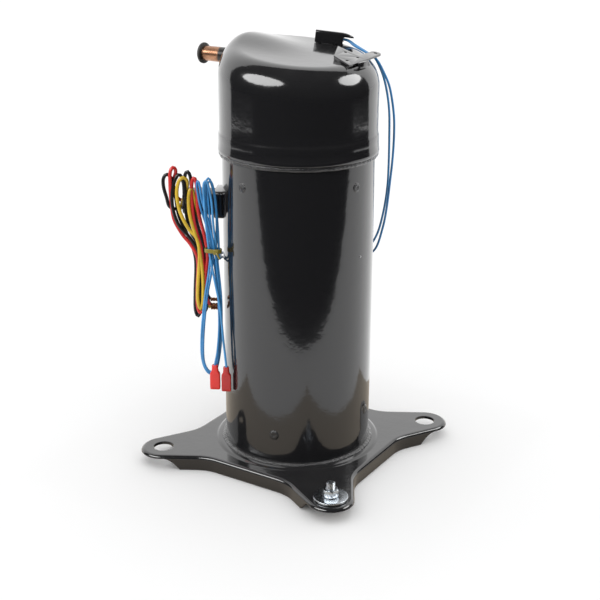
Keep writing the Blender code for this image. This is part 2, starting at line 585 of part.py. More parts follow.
def make_motor():
    shaft = lathe("crankshaft", [(0, 264.3), (12.2, 264.3), (12.5, 264.0), (12.5, 229), (9.5, 227), (9.5, 62), (8, 60.5), (8, 36), (0, 36)], "steel", 32)
    pin = rod("crank_pin", (ORBIT, 0, 0.2600), (ORBIT, 0, 0.2870), 0.0080, 32)
    boolean(shaft, as_cutter(pin, "crank_pin"), "UNION")
    boolean(shaft, as_cutter(rod("oil_bore", (0.003, 0, 0.02), (0.003, 0, 0.30), 0.0018, 10), "oil_bore"))
    half_weight("upper_counterweight", 9.8, 33, 193.3, 211.5, math.pi, "bronze")
    half_weight("lower_counterweight", 9.8, 30, 70, 86.7, 0, "bronze")
    lathe("rotor_core", [(9.8, 187), (36.6, 187), (36.6, 93), (9.8, 93)], "lamination", 32)
    lathe("rotor_ring_upper", [(20, 193), (36, 193), (36, 187.3), (20, 187.3)], "alu", 28)
    lathe("rotor_ring_lower", [(20, 92.7), (36, 92.7), (36, 87), (20, 87)], "alu", 28)
    lathe("oil_pickup", [(2.4, 35.7), (3.2, 35.7), (3.2, 14), (2.0, 12), (1.4, 12), (2.4, 14.5)], "steel", 16)
    stator = lathe("stator_core", [(37.0, 185), (67.2, 185), (67.2, 95), (37.0, 95)], "lamination", 40)
    for i in range(4):
        e = Matrix.Rotation(math.radians(45 + 90 * i), 4, "Z")
        boolean(stator, as_cutter(box("stator_flat_%d" % i, (0.0700, 0, 0.140), (0.010, 0.045, 0.10), e), "stator_flat_%d" % i))
    for name, z0, z1 in (("winding_upper", 185.4, 211.0), ("winding_lower", 69.0, 94.6)):
        zc, hz, rc, hr = (z0 + z1) / 2, (z1 - z0) / 2, 49.5, 10.5
        prof = []
        for i in range(8):
            a = 2 * math.pi * (i + 0.5) / 8
            c, s = math.cos(a), math.sin(a)
            prof.append((rc + hr * math.copysign(abs(c) ** 0.6, c), zc + hz * math.copysign(abs(s) ** 0.6, s)))
        lathe(name, prof, "winding", 28)
    c = radial(math.radians(60)) * 0.0495
    lathe("motor_protector", [(0, 223), (5.2, 223), (6, 222), (6, 211.6), (0, 211.6)], "plastic", 18, c)


def make_lower_bearing():
    b = lathe("lower_bearing_bracket", [(16, 60), (16, 47.5), (64.4, 47.5), (64.4, 58), (67.2, 58), (67.2, 44), (16, 44), (16, 30), (4, 30), (4, 33), (10.3, 33), (10.3, 60)], "steel", 32)
    for i in range(4):
        c = radial(math.radians(-33 + 90 * i)) * 0.040
        boolean(b, as_cutter(rod("bracket_window_%d" % i, c + Vector((0, 0, 0.042)), c + Vector((0, 0, 0.050)), 0.0165, 20), "bracket_window_%d" % i))
    lathe("lower_bearing_bush", [(8.3, 59.5), (10.0, 59.5), (10.0, 37), (8.3, 37)], "bronze", 28)
    lathe("thrust_washer", [(4.2, 35.7), (9.8, 35.7), (9.8, 33.4), (4.2, 33.4)], "steel", 24)
    lathe("sump_magnet", [(0, 9.8), (8.5, 9.8), (8.5, 6.5), (0, 6.5)], "magnet", 20)
    n = 16
    a0, a1 = SUCTION_AZ - math.radians(22), SUCTION_AZ + math.radians(22)
    pts = [(0.0632 * math.cos(a0 + (a1 - a0) * i / n), 0.0632 * math.sin(a0 + (a1 - a0) * i / n)) for i in range(n + 1)]
    pts += [(0.0620 * math.cos(a1 - (a1 - a0) * i / n), 0.0620 * math.sin(a1 - (a1 - a0) * i / n)) for i in range(n + 1)]
    part(outline_solid("suction_baffle", pts, 0.018, Matrix.Translation((0, 0, SUCTION_Z))), "suction_baffle", "steel")


# ---------------------------------------------------------------- leads

SIDE_A = [(56.4, 41.0, 387.6), (61.8, 48.3, 373.2), (64.7, 54.3, 359.2), (66.4, 59.8, 336.2), (66.4, 61.9, 316.9), (65.2, 63.0, 293.6), (62.3, 64.8, 270.0),
          (57.5, 68.6, 241.4), (52.1, 71.8, 219.7), (42.8, 75.0, 196.0), (26.0, 79.0, 184.0), (3.0, 80.5, 180.0), (-22.0, 77.5, 180.0), (-45.0, 66.0, 182.0),
          (-63.0, 48.0, 185.0), (-74.0, 24.0, 188.0), (-76.5, 0.0, 191.0)]
SIDE_B = [(53.6, 44.6, 387.4), (57.6, 52.6, 372.0), (60.4, 56.8, 355.0), (61.2, 60.8, 336.0), (61.0, 62.8, 312.0), (59.8, 65.6, 286.0), (57.6, 68.4, 262.0),
          (52.5, 71.5, 236.0), (45.0, 74.0, 212.0), (34.0, 77.0, 197.0), (16.0, 79.5, 189.0), (-6.0, 80.0, 186.5), (-28.0, 75.5, 187.0), (-50.0, 62.5, 189.0),
          (-66.0, 43.5, 191.5), (-75.0, 20.0, 194.0), (-76.0, -4.0, 196.5)]


def make_leads(cover):
    def mm(p):
        return Vector(p) * MM
    top_a = [cover @ Vector((0.0062, -0.0019, 0.0026)), cover @ Vector((0.0170, -0.0023, 0.0020))]
    top_b = [cover @ Vector((0.0062, 0.0019, 0.0026)), cover @ Vector((0.0170, 0.0021, 0.0020))]
    mid_a, mid_b = [], []
    for (x, y), (xb, yb) in (((26, 54.0), (25, 57.8)), ((41, 48.5), (40, 52.6))):
        mid_a.append(mm((x, y, cap_height(x * MM, y * MM) / MM + 2.0)))
        mid_b.append(mm((xb, yb, cap_height(xb * MM, yb * MM) / MM + 3.2)))
    end_a = [plug_point(75.5, -4, 196), plug_point(75.5, 10, 199), plug_point(76.2, 23.9, 200)]
    end_b = [plug_point(74.8, 1, 201.5), plug_point(72.4, 12, 203), plug_point(72.2, 23.9, 204)]
    tube("thermostat_lead_a", top_a + mid_a + [mm(p) for p in SIDE_A] + end_a, 0.0022, "blue", 0.0078)
    tube("thermostat_lead_b", top_b + mid_b + [mm(p) for p in SIDE_B] + end_b, 0.0022, "blue", 0.0078)

    def slab(name, pts_mm, v0, v1, key):
        m = Matrix((ER, Vector((0, 0, 1)), ER.cross(Vector((0, 0, 1))))).transposed().to_4x4()
        m.translation = ET * ((v0 + v1) / 2 * MM)
        return part(outline_solid(name, [(a * MM, b * MM) for a, b in pts_mm], (v1 - v0) / 2 * MM, m), name, key)

    slab("thermostat_lead_hank", [(90.5, 279), (88.5, 283), (78, 284.5), (72.5, 278), (70.3, 255), (70.3, 236), (71.5, 218.5), (71.5, 209.5), (69.5, 200), (68.3, 170),
                                  (68.3, 100), (72, 93), (82, 88), (88, 88.5), (92, 97), (92.5, 120), (90.5, 150), (87, 172), (83.5, 195), (83.5, 218.5), (87, 240), (90.5, 262)],
         24.6, 32.4, "blue")
    slab("power_lead_hank", [(79, 213), (80, 222), (84, 236), (88.5, 262), (91.5, 283), (96, 286), (105, 286), (110, 292.5), (116.5, 293.5), (122, 286), (127, 279),
                             (125, 266), (120.5, 254), (114, 240), (106, 229), (101.5, 220), (100.3, 205), (101.2, 147), (98, 142.3), (91, 144), (84.5, 156), (83, 190), (80.5, 205)],
         13.8, 21.5, "mixed")
    tie = part(box("hank_tie", (77.5 * MM, 28.5 * MM, 0.214), (16.6 * MM, 12.4 * MM, 6 * MM), PLUG_FRAME), "hank_tie", "yellow")
    bevel(tie, 0.0015, 2)
    boolean(tie, as_cutter(box("cut_tie", (77.5 * MM, 28.5 * MM, 0.214), (12.6 * MM, 8.4 * MM, 20 * MM), PLUG_FRAME), "cut_tie"))
    for name, u, v, z, w in (("quick_connect_a", 77.0, 35.2, 88.5, 9.4), ("quick_connect_b", 65.2, 39.8, 88.8, 8.4)):
        q = part(box(name, (u * MM, v * MM, z * MM), (w * MM, 4.6 * MM, 25 * MM), PLUG_FRAME), name, "red")
        bevel(q, 0.0014, 2)
    for i, (v, z) in enumerate([(17.5, 161.5), (19.5, 156.8), (16.0, 152.4)]):
        t = rod("power_lead_terminal_%d" % (i + 1), plug_point(75.4, v, z), plug_point(82.4, v, z), 0.0018, 14)
        part(t, t.name, "copper")


# ---------------------------------------------------------------- build

make_enclosure()
make_base_plate()
make_fasteners()
make_fittings()
make_terminal()
cover = make_thermostat()
make_bracket()
make_scrolls()
make_bearing_housing()
make_head()
make_motor()
make_lower_bearing()
make_leads(cover)
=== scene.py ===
import bpy
import bmesh
import math
import random
from mathutils import Vector, Matrix, Quaternion, noise


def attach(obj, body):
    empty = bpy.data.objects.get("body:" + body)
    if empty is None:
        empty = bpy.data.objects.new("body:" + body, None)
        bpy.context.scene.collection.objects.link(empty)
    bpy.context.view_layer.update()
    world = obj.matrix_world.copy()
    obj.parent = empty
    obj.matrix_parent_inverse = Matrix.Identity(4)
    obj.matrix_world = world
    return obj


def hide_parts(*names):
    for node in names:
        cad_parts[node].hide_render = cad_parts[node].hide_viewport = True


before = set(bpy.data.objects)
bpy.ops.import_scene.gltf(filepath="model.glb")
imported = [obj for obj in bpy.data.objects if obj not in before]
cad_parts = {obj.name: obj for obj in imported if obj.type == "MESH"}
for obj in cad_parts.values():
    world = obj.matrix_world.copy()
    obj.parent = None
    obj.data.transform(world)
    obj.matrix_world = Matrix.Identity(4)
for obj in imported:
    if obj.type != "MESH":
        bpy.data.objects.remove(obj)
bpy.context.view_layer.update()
MM = 0.001
random.seed(7)

# ------------------------------------------------------------------ camera
cam_data = bpy.data.cameras.new("camera")
cam = bpy.data.objects.new("camera", cam_data)
bpy.context.scene.collection.objects.link(cam)
bpy.context.scene.camera = cam
cam_data.sensor_width = 36.0
cam_data.lens = 71.93
cam_data.clip_start, cam_data.clip_end = 0.05, 60
AZ, EL, ROLL = math.radians(31.877), math.radians(20.087), math.radians(0.308)
back = Vector((math.sin(AZ) * math.cos(EL), -math.cos(AZ) * math.cos(EL), math.sin(EL)))
right = Vector((math.cos(AZ), math.sin(AZ), 0))
up = back.cross(right)
r2 = right * math.cos(ROLL) + up * math.sin(ROLL)
u2 = -right * math.sin(ROLL) + up * math.cos(ROLL)
m = Matrix((r2, u2, back)).transposed().to_4x4()
m.translation = Vector((0.5762, -0.9227, 0.5546))
cam.matrix_world = m

# ------------------------------------------------------------------ shared dimensions (metres)
HOLE_HALF, HOLE_R, FOOT_R = 0.09525, 0.009525, 0.0218
PLATE_TOP, PLATE_T, PLATE_HALF, PLATE_KINK = 0.0145, 0.0030, 0.0915, 0.0455
SHELL_R, CAP_R = 0.0710, 0.0732
TERMINAL_Z, SUCTION_Z, DISCHARGE_Z = 0.2535, 0.2320, 0.3845
PLUG_AZ, SUCTION_AZ = math.radians(208), math.radians(122)
ZUP = Vector((0, 0, 1))


def radial(az):
    return Vector((math.cos(az), math.sin(az), 0))


ER, ET = radial(PLUG_AZ), radial(PLUG_AZ + math.pi / 2)
PLUG_FRAME = Matrix((ER, ET, ZUP)).transposed().to_4x4()


def plug_point(u, v, z):
    return ER * (u * MM) + ET * (v * MM) + Vector((0, 0, z * MM))


CAP_H0, CAP_TILT_X, CAP_TILT_Y, CAP_CROWN = 0.3953, 0.1123, 0.0471, 0.0012
HUMP_H, HUMP_X, HUMP_SX, HUMP_SY = 0.0063, 0.0517, 0.0308, 0.0184
SHOULDER_W, SHOULDER_H = 0.0205, 0.0257


def cap_height(x, y):
    t = (CAP_H0 - CAP_CROWN * (x * x + y * y) / 0.073 - CAP_TILT_X * x + CAP_TILT_Y * y
         + HUMP_H * math.exp(-((x + HUMP_X) ** 2 / (2 * HUMP_SX ** 2) + y * y / (2 * HUMP_SY ** 2))))
    s = min(1.0, max(0.0, (math.hypot(x, y) - (CAP_R - SHOULDER_W)) / SHOULDER_W))
    return t - SHOULDER_H * (1 - math.sqrt(max(0.0, 1 - s ** 2.2)))


# ------------------------------------------------------------------ materials
class Nodes:
    def __init__(self, name, rgb, rough, metal=0.0, coat=0.0, coat_rough=0.05, spec=0.5, ior=1.5, sheen=0.0):
        self.mat = bpy.data.materials.new(name)
        self.mat.use_nodes = True
        self.t = self.mat.node_tree
        self.b = self.t.nodes["Principled BSDF"]
        i = self.b.inputs
        i["Base Color"].default_value = (*rgb, 1)
        i["Roughness"].default_value = rough
        i["Metallic"].default_value = metal
        i["Coat Weight"].default_value = coat
        i["Coat Roughness"].default_value = coat_rough
        i["Specular IOR Level"].default_value = spec
        i["IOR"].default_value = ior
        i["Sheen Weight"].default_value = sheen
        self.coord = self.t.nodes.new("ShaderNodeTexCoord").outputs["Object"]
        self.last = None

    def noise(self, scale, detail=4, rough=0.55, stretch=None, coord=None):
        n = self.t.nodes.new("ShaderNodeTexNoise")
        n.inputs["Scale"].default_value = scale
        n.inputs["Detail"].default_value = detail
        n.inputs["Roughness"].default_value = rough
        c = coord or self.coord
        if stretch:
            mp = self.t.nodes.new("ShaderNodeMapping")
            mp.inputs["Scale"].default_value = stretch
            self.t.links.new(c, mp.inputs["Vector"])
            c = mp.outputs["Vector"]
        self.t.links.new(c, n.inputs["Vector"])
        return n.outputs["Fac"]

    def wave(self, scale, distortion=0.0, axis="Z"):
        n = self.t.nodes.new("ShaderNodeTexWave")
        n.bands_direction = axis
        n.inputs["Scale"].default_value = scale
        n.inputs["Distortion"].default_value = distortion
        self.t.links.new(self.coord, n.inputs["Vector"])
        return n.outputs["Fac"]

    def ramp(self, fac, stops):
        n = self.t.nodes.new("ShaderNodeValToRGB")
        e = n.color_ramp.elements
        while len(e) < len(stops):
            e.new(0.5)
        for el, (p, c) in zip(e, stops):
            el.position = p
            el.color = (*c, 1) if hasattr(c, "__len__") else (c, c, c, 1)
        self.t.links.new(fac, n.inputs["Fac"])
        return n.outputs["Color"]

    def mix(self, fac, a, b):
        n = self.t.nodes.new("ShaderNodeMix")
        n.data_type = "RGBA"
        for sock, val in ((n.inputs[0], fac), (n.inputs[6], a), (n.inputs[7], b)):
            if hasattr(val, "is_output") or isinstance(val, bpy.types.NodeSocket):
                self.t.links.new(val, sock)
            elif hasattr(val, "__len__"):
                sock.default_value = (*val, 1) if len(val) == 3 else val
            else:
                sock.default_value = val
        return n.outputs[2]

    def math(self, op, a, b=0.0, clamp=False):
        n = self.t.nodes.new("ShaderNodeMath")
        n.operation = op
        n.use_clamp = clamp
        for sock, val in ((n.inputs[0], a), (n.inputs[1], b)):
            if isinstance(val, bpy.types.NodeSocket):
                self.t.links.new(val, sock)
            else:
                sock.default_value = val
        return n.outputs[0]

    def axis(self, which):
        n = self.t.nodes.new("ShaderNodeSeparateXYZ")
        self.t.links.new(self.coord, n.inputs[0])
        return n.outputs[which]

    def up(self):
        g = self.t.nodes.new("ShaderNodeNewGeometry")
        n = self.t.nodes.new("ShaderNodeSeparateXYZ")
        self.t.links.new(g.outputs["Normal"], n.inputs[0])
        return n.outputs[2]

    def set(self, name, socket):
        self.t.links.new(socket, self.b.inputs[name])
        return self

    def bump(self, height, strength=0.2, dist=0.001, coat=False):
        n = self.t.nodes.new("ShaderNodeBump")
        n.inputs["Strength"].default_value = strength
        n.inputs["Distance"].default_value = dist
        self.t.links.new(height, n.inputs["Height"])
        if self.last is not None:
            self.t.links.new(self.last, n.inputs["Normal"])
        self.last = n.outputs["Normal"]
        self.t.links.new(self.last, self.b.inputs["Normal"])
        if coat:
            self.t.links.new(self.last, self.b.inputs["Coat Normal"])
        return self


def enamel(name, dust=0.25, weld=False):
    """Gloss black enamel with orange peel and a trace of dust on what faces up."""
    n = Nodes(name, (0.0075, 0.0075, 0.0082), 0.17, coat=0.85, coat_rough=0.06, ior=1.5)
    fine = n.noise(420, 3, 0.5)
    broad = n.noise(38, 4, 0.6)
    specks = n.ramp(n.noise(900, 2, 0.7), [(0.0, 0.0), (0.64, 0.0), (0.72, 1.0)])
    up_f = n.math("MULTIPLY", n.math("MAXIMUM", n.up(), 0.0), dust)
    amount = n.math("MULTIPLY", n.math("ADD", n.math("MULTIPLY", broad, 0.30), n.math("MULTIPLY", specks, 0.30)), up_f, True)
    n.set("Base Color", n.mix(amount, (0.0075, 0.0075, 0.0082), (0.16, 0.155, 0.15)))
    n.set("Roughness", n.math("ADD", n.math("MULTIPLY", broad, 0.08 if weld else 0.10), 0.06 if weld else 0.085))
    n.bump(broad, 0.05, 0.004)
    n.bump(fine, 0.10 if weld else 0.035, 0.0006, coat=True)
    if weld:
        n.bump(n.noise(210, 6, 0.75), 0.75, 0.0016, coat=True)
    return n.mat


def copper():
    n = Nodes("copper_tube", (0.52, 0.21, 0.09), 0.3, metal=1.0)
    blot = n.noise(130, 5, 0.65)
    tint = n.mix(n.ramp(blot, [(0.35, 0.0), (0.7, 1.0)]), (0.60, 0.32, 0.19), (0.22, 0.105, 0.06))
    n.set("Base Color", tint)
    n.set("Roughness", n.math("ADD", n.math("MULTIPLY", blot, 0.35), 0.14))
    n.bump(n.noise(300, 3, 0.6), 0.12, 0.0006)
    return n


def painted_copper(name, edge):
    """Copper tube with black overspray up to `edge` (distance from the shell axis, metres)."""
    n = copper()
    n.mat.name = name
    x, y = n.axis(0), n.axis(1)
    d = n.math("SQRT", n.math("ADD", n.math("MULTIPLY", x, x), n.math("MULTIPLY", y, y)))
    rag = n.math("MULTIPLY", n.math("SUBTRACT", n.noise(160, 4, 0.7), 0.5), 0.006)
    k = n.math("MULTIPLY", n.math("SUBTRACT", n.math("ADD", d, rag), edge - 0.001), 500, True)
    src = n.b.inputs["Base Color"].links[0].from_socket
    rsrc = n.b.inputs["Roughness"].links[0].from_socket
    n.set("Base Color", n.mix(k, (0.012, 0.010, 0.009), src))
    n.set("Metallic", k)
    n.set("Roughness", n.math("ADD", n.math("MULTIPLY", rsrc, 1.0), 0.02))
    return n.mat


def rubber(name="black_rubber", rgb=(0.016, 0.015, 0.014)):
    n = Nodes(name, rgb, 0.55)
    f = n.noise(260, 5, 0.65)
    n.set("Base Color", n.mix(f, rgb, tuple(c * 2.4 for c in rgb)))
    n.set("Roughness", n.math("ADD", n.math("MULTIPLY", f, 0.3), 0.42))
    n.bump(n.noise(700, 3, 0.6), 0.25, 0.0004)
    return n.mat


def moulded(name, rgb, rough=0.42, coat=0.0):
    n = Nodes(name, rgb, rough, coat=coat, coat_rough=0.12)
    f = n.noise(90, 4, 0.6)
    n.set("Base Color", n.mix(f, tuple(c * 0.85 for c in rgb), tuple(min(1, c * 1.2) for c in rgb)))
    n.set("Roughness", n.math("ADD", n.math("MULTIPLY", f, 0.15), rough - 0.07))
    n.bump(n.noise(900, 2, 0.5), 0.12, 0.0003)
    return n.mat


def wire_mat(name, rgb, rough=0.33):
    n = Nodes(name, rgb, rough, coat=0.15, coat_rough=0.25, ior=1.53)
    f = n.noise(70, 4, 0.6)
    n.set("Base Color", n.mix(n.ramp(f, [(0.3, 0.0), (0.75, 1.0)]), rgb, tuple(c * 0.62 for c in rgb)))
    n.set("Roughness", n.math("ADD", n.math("MULTIPLY", f, 0.22), rough - 0.08))
    n.bump(n.noise(500, 3, 0.6), 0.10, 0.0004)
    return n.mat


def metal(name, rgb, rough, scale=120, grain=None, dark=0.6, bump=0.12):
    n = Nodes(name, rgb, rough, metal=1.0)
    f = n.noise(scale, 5, 0.62, stretch=grain)
    n.set("Base Color", n.mix(n.ramp(f, [(0.25, 0.0), (0.8, 1.0)]), rgb, tuple(c * dark for c in rgb)))
    n.set("Roughness", n.math("ADD", n.math("MULTIPLY", f, 0.25), rough - 0.1))
    n.bump(f, bump, 0.0005)
    return n


def zinc(name="bright_zinc"):
    n = metal(name, (0.66, 0.70, 0.74), 0.24, 240, dark=0.75, bump=0.1)
    return n.mat


# ------------------------------------------------------------------ mesh helpers
def finish_mesh(ob, mat, body="housing", replaces=(), sharp=34, smooth=True):
    me = ob.data
    if ob.type == "MESH" and smooth:
        me.shade_smooth()
        me.set_sharp_from_angle(angle=math.radians(sharp))
    ob.data.materials.clear()
    ob.data.materials.append(mat)
    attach(ob, body)
    if replaces:
        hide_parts(*replaces)
    return ob


def link(name, me, matrix=None):
    ob = bpy.data.objects.new(name, me)
    bpy.context.scene.collection.objects.link(ob)
    if matrix is not None:
        me.transform(matrix)
    return ob


def fillet(prof, rad, n=5, closed=True):
    """Rounded copy of a closed (r, z) profile; rad is one radius or one per corner (0 keeps a corner sharp)."""
    k = len(prof)
    rads = rad if hasattr(rad, "__len__") else [rad] * k
    out = []
    for i, p in enumerate(prof):
        r = rads[i]
        a, b, c = Vector(prof[i - 1]), Vector(p), Vector(prof[(i + 1) % k])
        if r <= 0 or (not closed and i in (0, k - 1)):
            out.append((b.x, b.y))
            continue
        d1, d2 = (a - b), (c - b)
        l1, l2 = d1.length, d2.length
        if l1 < 1e-6 or l2 < 1e-6:
            out.append((b.x, b.y))
            continue
        d1, d2 = d1 / l1, d2 / l2
        ang = math.acos(max(-1, min(1, d1.dot(d2))))
        if ang > math.pi - 0.02 or ang < 0.02:
            out.append((b.x, b.y))
            continue
        t = min(r / math.tan(ang / 2), l1 * 0.48, l2 * 0.48)
        rr = t * math.tan(ang / 2)
        centre = b + (d1 + d2).normalized() * (rr / math.sin(ang / 2))
        s, e = b + d1 * t - centre, b + d2 * t - centre
        a0, a1 = math.atan2(s.y, s.x), math.atan2(e.y, e.x)
        da = (a1 - a0 + math.pi) % (2 * math.pi) - math.pi
        for j in range(n + 1):
            aa = a0 + da * j / n
            out.append((centre.x + rr * math.cos(aa), centre.y + rr * math.sin(aa)))
    return out


def lathe(name, prof_mm, steps=96, matrix=None, fn=None):
    """Revolved closed profile in mm; points with r = 0 close on the axis. fn(az, r, z) can move a point."""
    bm = bmesh.new()
    rings = []
    for r, z in prof_mm:
        if r <= 1e-6:
            rings.append([bm.verts.new((0, 0, z * MM))])
        else:
            ring = []
            for i in range(steps):
                a = 2 * math.pi * i / steps
                rr, zz = (r, z) if fn is None else fn(a, r, z)
                ring.append(bm.verts.new((rr * MM * math.cos(a), rr * MM * math.sin(a), zz * MM)))
            rings.append(ring)
    k = len(rings)
    open_ends = len(rings[0]) == 1 and len(rings[-1]) == 1
    for i in range(k - 1 if open_ends else k):
        a, b = rings[i], rings[(i + 1) % k]
        for j in range(steps):
            j2 = (j + 1) % steps
            if len(a) == 1 and len(b) == 1:
                continue
            if len(a) == 1:
                bm.faces.new((a[0], b[j2], b[j]))
            elif len(b) == 1:
                bm.faces.new((a[j], a[j2], b[0]))
            else:
                bm.faces.new((a[j], a[j2], b[j2], b[j]))
    bmesh.ops.recalc_face_normals(bm, faces=bm.faces)
    me = bpy.data.meshes.new(name)
    bm.to_mesh(me)
    bm.free()
    return link(name, me, matrix)


def turn_to(direction, origin):
    q = ZUP.rotation_difference(Vector(direction)).to_matrix().to_4x4()
    q.translation = Vector(origin)
    return q


def rounded_box(name, size, bevel, matrix, segments=4):
    bm = bmesh.new()
    bmesh.ops.create_cube(bm, size=1)
    bmesh.ops.scale(bm, vec=size, verts=bm.verts)
    bmesh.ops.bevel(bm, geom=list(bm.edges), offset=bevel, segments=segments, profile=0.5, affect="EDGES")
    me = bpy.data.meshes.new(name)
    bm.to_mesh(me)
    bm.free()
    return link(name, me, matrix)


def outline(name, pts, half, bevel, matrix, holes=(), res=3):
    """Flat outline in metres, 2*half thick with rounded edges, as a mesh."""
    cu = bpy.data.curves.new(name + "_c", "CURVE")
    cu.dimensions = "2D"
    cu.fill_mode = "BOTH"
    cu.extrude = half - bevel
    cu.bevel_depth = bevel
    cu.bevel_resolution = res
    cu.offset = -bevel
    for loop in (pts, *holes):
        sp = cu.splines.new("POLY")
        sp.points.add(len(loop) - 1)
        for p, q in zip(sp.points, loop):
            p.co = (q[0], q[1], 0, 1)
        sp.use_cyclic_u = True
    tmp = bpy.data.objects.new(name + "_c", cu)
    bpy.context.scene.collection.objects.link(tmp)
    dg = bpy.context.evaluated_depsgraph_get()
    me = bpy.data.meshes.new_from_object(tmp.evaluated_get(dg))
    bpy.data.objects.remove(tmp, do_unlink=True)
    bm = bmesh.new()
    bm.from_mesh(me)
    bmesh.ops.remove_doubles(bm, verts=bm.verts, dist=1e-6)
    bm.to_mesh(me)
    bm.free()
    me.name = name
    return link(name, me, matrix)


def circle(cx, cy, r, n):
    return [(cx + r * math.cos(2 * math.pi * i / n), cy + r * math.sin(2 * math.pi * i / n)) for i in range(n)]


def smooth_route(ctrl, step):
    p = [Vector(c) for c in ctrl]
    p = [p[0] * 2 - p[1]] + p + [p[-1] * 2 - p[-2]]
    dense = []
    for i in range(1, len(p) - 2):
        a, b, c, d = p[i - 1:i + 3]
        for k in range(24):
            t = k / 24
            dense.append(0.5 * ((2 * b) + (c - a) * t + (2 * a - 5 * b + 4 * c - d) * t * t + (3 * b - a - 3 * c + d) * t ** 3))
    dense.append(p[-2])
    total = sum((dense[i + 1] - dense[i]).length for i in range(len(dense) - 1))
    n = max(2, round(total / step))
    out, acc, i = [dense[0]], 0.0, 0
    for k in range(1, n):
        want = total * k / n
        while acc + (dense[i + 1] - dense[i]).length < want:
            acc += (dense[i + 1] - dense[i]).length
            i += 1
        out.append(dense[i].lerp(dense[i + 1], (want - acc) / (dense[i + 1] - dense[i]).length))
    out.append(dense[-1])
    return out


def cord_curve(name, ctrl, dia, mat, step):
    pts = smooth_route(ctrl, step)
    cu = bpy.data.curves.new(name, "CURVE")
    cu.dimensions = "3D"
    cu.bevel_depth = dia / 2
    cu.bevel_resolution = 4
    cu.use_fill_caps = True
    sp = cu.splines.new("POLY")
    sp.points.add(len(pts) - 1)
    for p, q in zip(sp.points, pts):
        p.co = (*q, 1)
    sp.use_smooth = True
    ob = bpy.data.objects.new(name, cu)
    bpy.context.scene.collection.objects.link(ob)
    cu.materials.append(mat)
    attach(ob, "housing")
    length = sum((pts[i + 1] - pts[i]).length for i in range(len(pts) - 1))
    return ob, pts, length


def frame_at(origin, x_dir, z_dir):
    z = Vector(z_dir).normalized()
    x = (Vector(x_dir) - z * Vector(x_dir).dot(z)).normalized()
    y = z.cross(x)
    mt = Matrix((x, y, z)).transposed().to_4x4()
    mt.translation = Vector(origin)
    return mt


# ------------------------------------------------------------------ leads (cords first)
COVER_AZ = math.radians(26)


def cover_frame():
    x = Vector((math.cos(COVER_AZ), math.sin(COVER_AZ), -0.10)).normalized()
    z = ZUP + Vector((-math.sin(COVER_AZ), math.cos(COVER_AZ), 0)) * 0.10
    mt = frame_at((0.003, 0.0480, 0.400), x, z - x * z.dot(x))
    low = 1.0
    for i in range(-13, 14, 2):
        for j in range(-8, 9, 2):
            p = mt @ Vector((i * MM, j * MM, 0))
            low = min(low, p.z - cap_height(p.x, p.y))
    mt.translation.z += 0.0004 - low
    return mt


COVER = cover_frame()
SIDE_A = [(56.4, 41.0, 387.6), (61.8, 48.3, 373.2), (64.7, 54.3, 359.2), (66.4, 59.8, 336.2), (66.4, 61.9, 316.9), (65.2, 63.0, 293.6), (62.3, 64.8, 270.0),
          (57.5, 68.6, 241.4), (52.1, 71.8, 219.7), (42.8, 75.0, 196.0), (26.0, 79.0, 184.0), (3.0, 80.5, 180.0), (-22.0, 77.5, 180.0), (-45.0, 66.0, 182.0),
          (-63.0, 48.0, 185.0), (-74.0, 24.0, 188.0), (-76.5, 0.0, 191.0)]
SIDE_B = [(53.6, 44.6, 387.4), (57.6, 52.6, 372.0), (60.4, 56.8, 355.0), (61.2, 60.8, 336.0), (61.0, 62.8, 312.0), (59.8, 65.6, 286.0), (57.6, 68.4, 262.0),
          (52.5, 71.5, 236.0), (45.0, 74.0, 212.0), (34.0, 77.0, 197.0), (16.0, 79.5, 189.0), (-6.0, 80.0, 186.5), (-28.0, 75.5, 187.0), (-50.0, 62.5, 189.0),
          (-66.0, 43.5, 191.5), (-75.0, 20.0, 194.0), (-76.0, -4.0, 196.5)]
HANK_A = [(75.5, -4, 196), (75.5, 10, 199), (76.2, 22.0, 200), (75.2, 25.6, 206), (75.0, 26, 214), (73.8, 27, 240), (74.5, 27.5, 262), (76.8, 28.3, 276.5), (79.2, 28.8, 280.5),
          (81.2, 29, 275.5), (80.6, 29, 255), (78.5, 29, 232), (77.5, 28.5, 214), (79.5, 29, 192), (84, 29, 168), (87.8, 29, 135), (89, 29, 110), (87.5, 29, 98), (83, 29.5, 91.5),
          (78, 30, 94), (74.5, 30.5, 105), (72.8, 30.3, 130), (72, 30, 165), (74.2, 29.8, 200), (75.5, 29.8, 214), (80, 30, 238), (86.5, 30, 262), (88.2, 29.8, 275), (90, 28.8, 280.3),
          (91.4, 27.5, 275), (88.5, 27, 255), (82, 26.8, 232), (78.8, 26.6, 214), (76, 27, 195), (73.5, 28.5, 170), (72.6, 32, 140), (74.2, 35, 116), (76.4, 35.4, 104), (77, 35.4, 99)]
HANK_B = [(74.8, 1, 201.5), (72.4, 12, 203), (72.2, 22.0, 204), (72.3, 25.0, 208), (72.4, 25.5, 216), (73.2, 26, 240), (75.4, 26.2, 265), (78.3, 26.2, 278), (80.8, 26.4, 282.5),
          (83.2, 26.8, 276), (83.2, 27, 250), (80.8, 27.6, 230), (79.6, 28.3, 214), (82, 28.0, 192), (86.5, 27.6, 165), (90.3, 27.4, 130), (90.6, 27.4, 106), (87.0, 27.6, 92.5), (81, 28.2, 88.6),
          (75.5, 29.2, 97), (71.3, 29.6, 125), (70.5, 29.2, 165), (73.2, 28.2, 200), (74.2, 28.0, 214), (76.5, 29.6, 238), (77.7, 31, 262), (80.2, 31.6, 277), (82.6, 31.6, 281.3),
          (84.8, 31.2, 274), (83.6, 30.8, 245), (80.8, 30.6, 214), (77, 31.2, 190), (71.5, 33.2, 160), (68.4, 37, 130), (66.0, 39.6, 108), (65.2, 39.9, 99)]
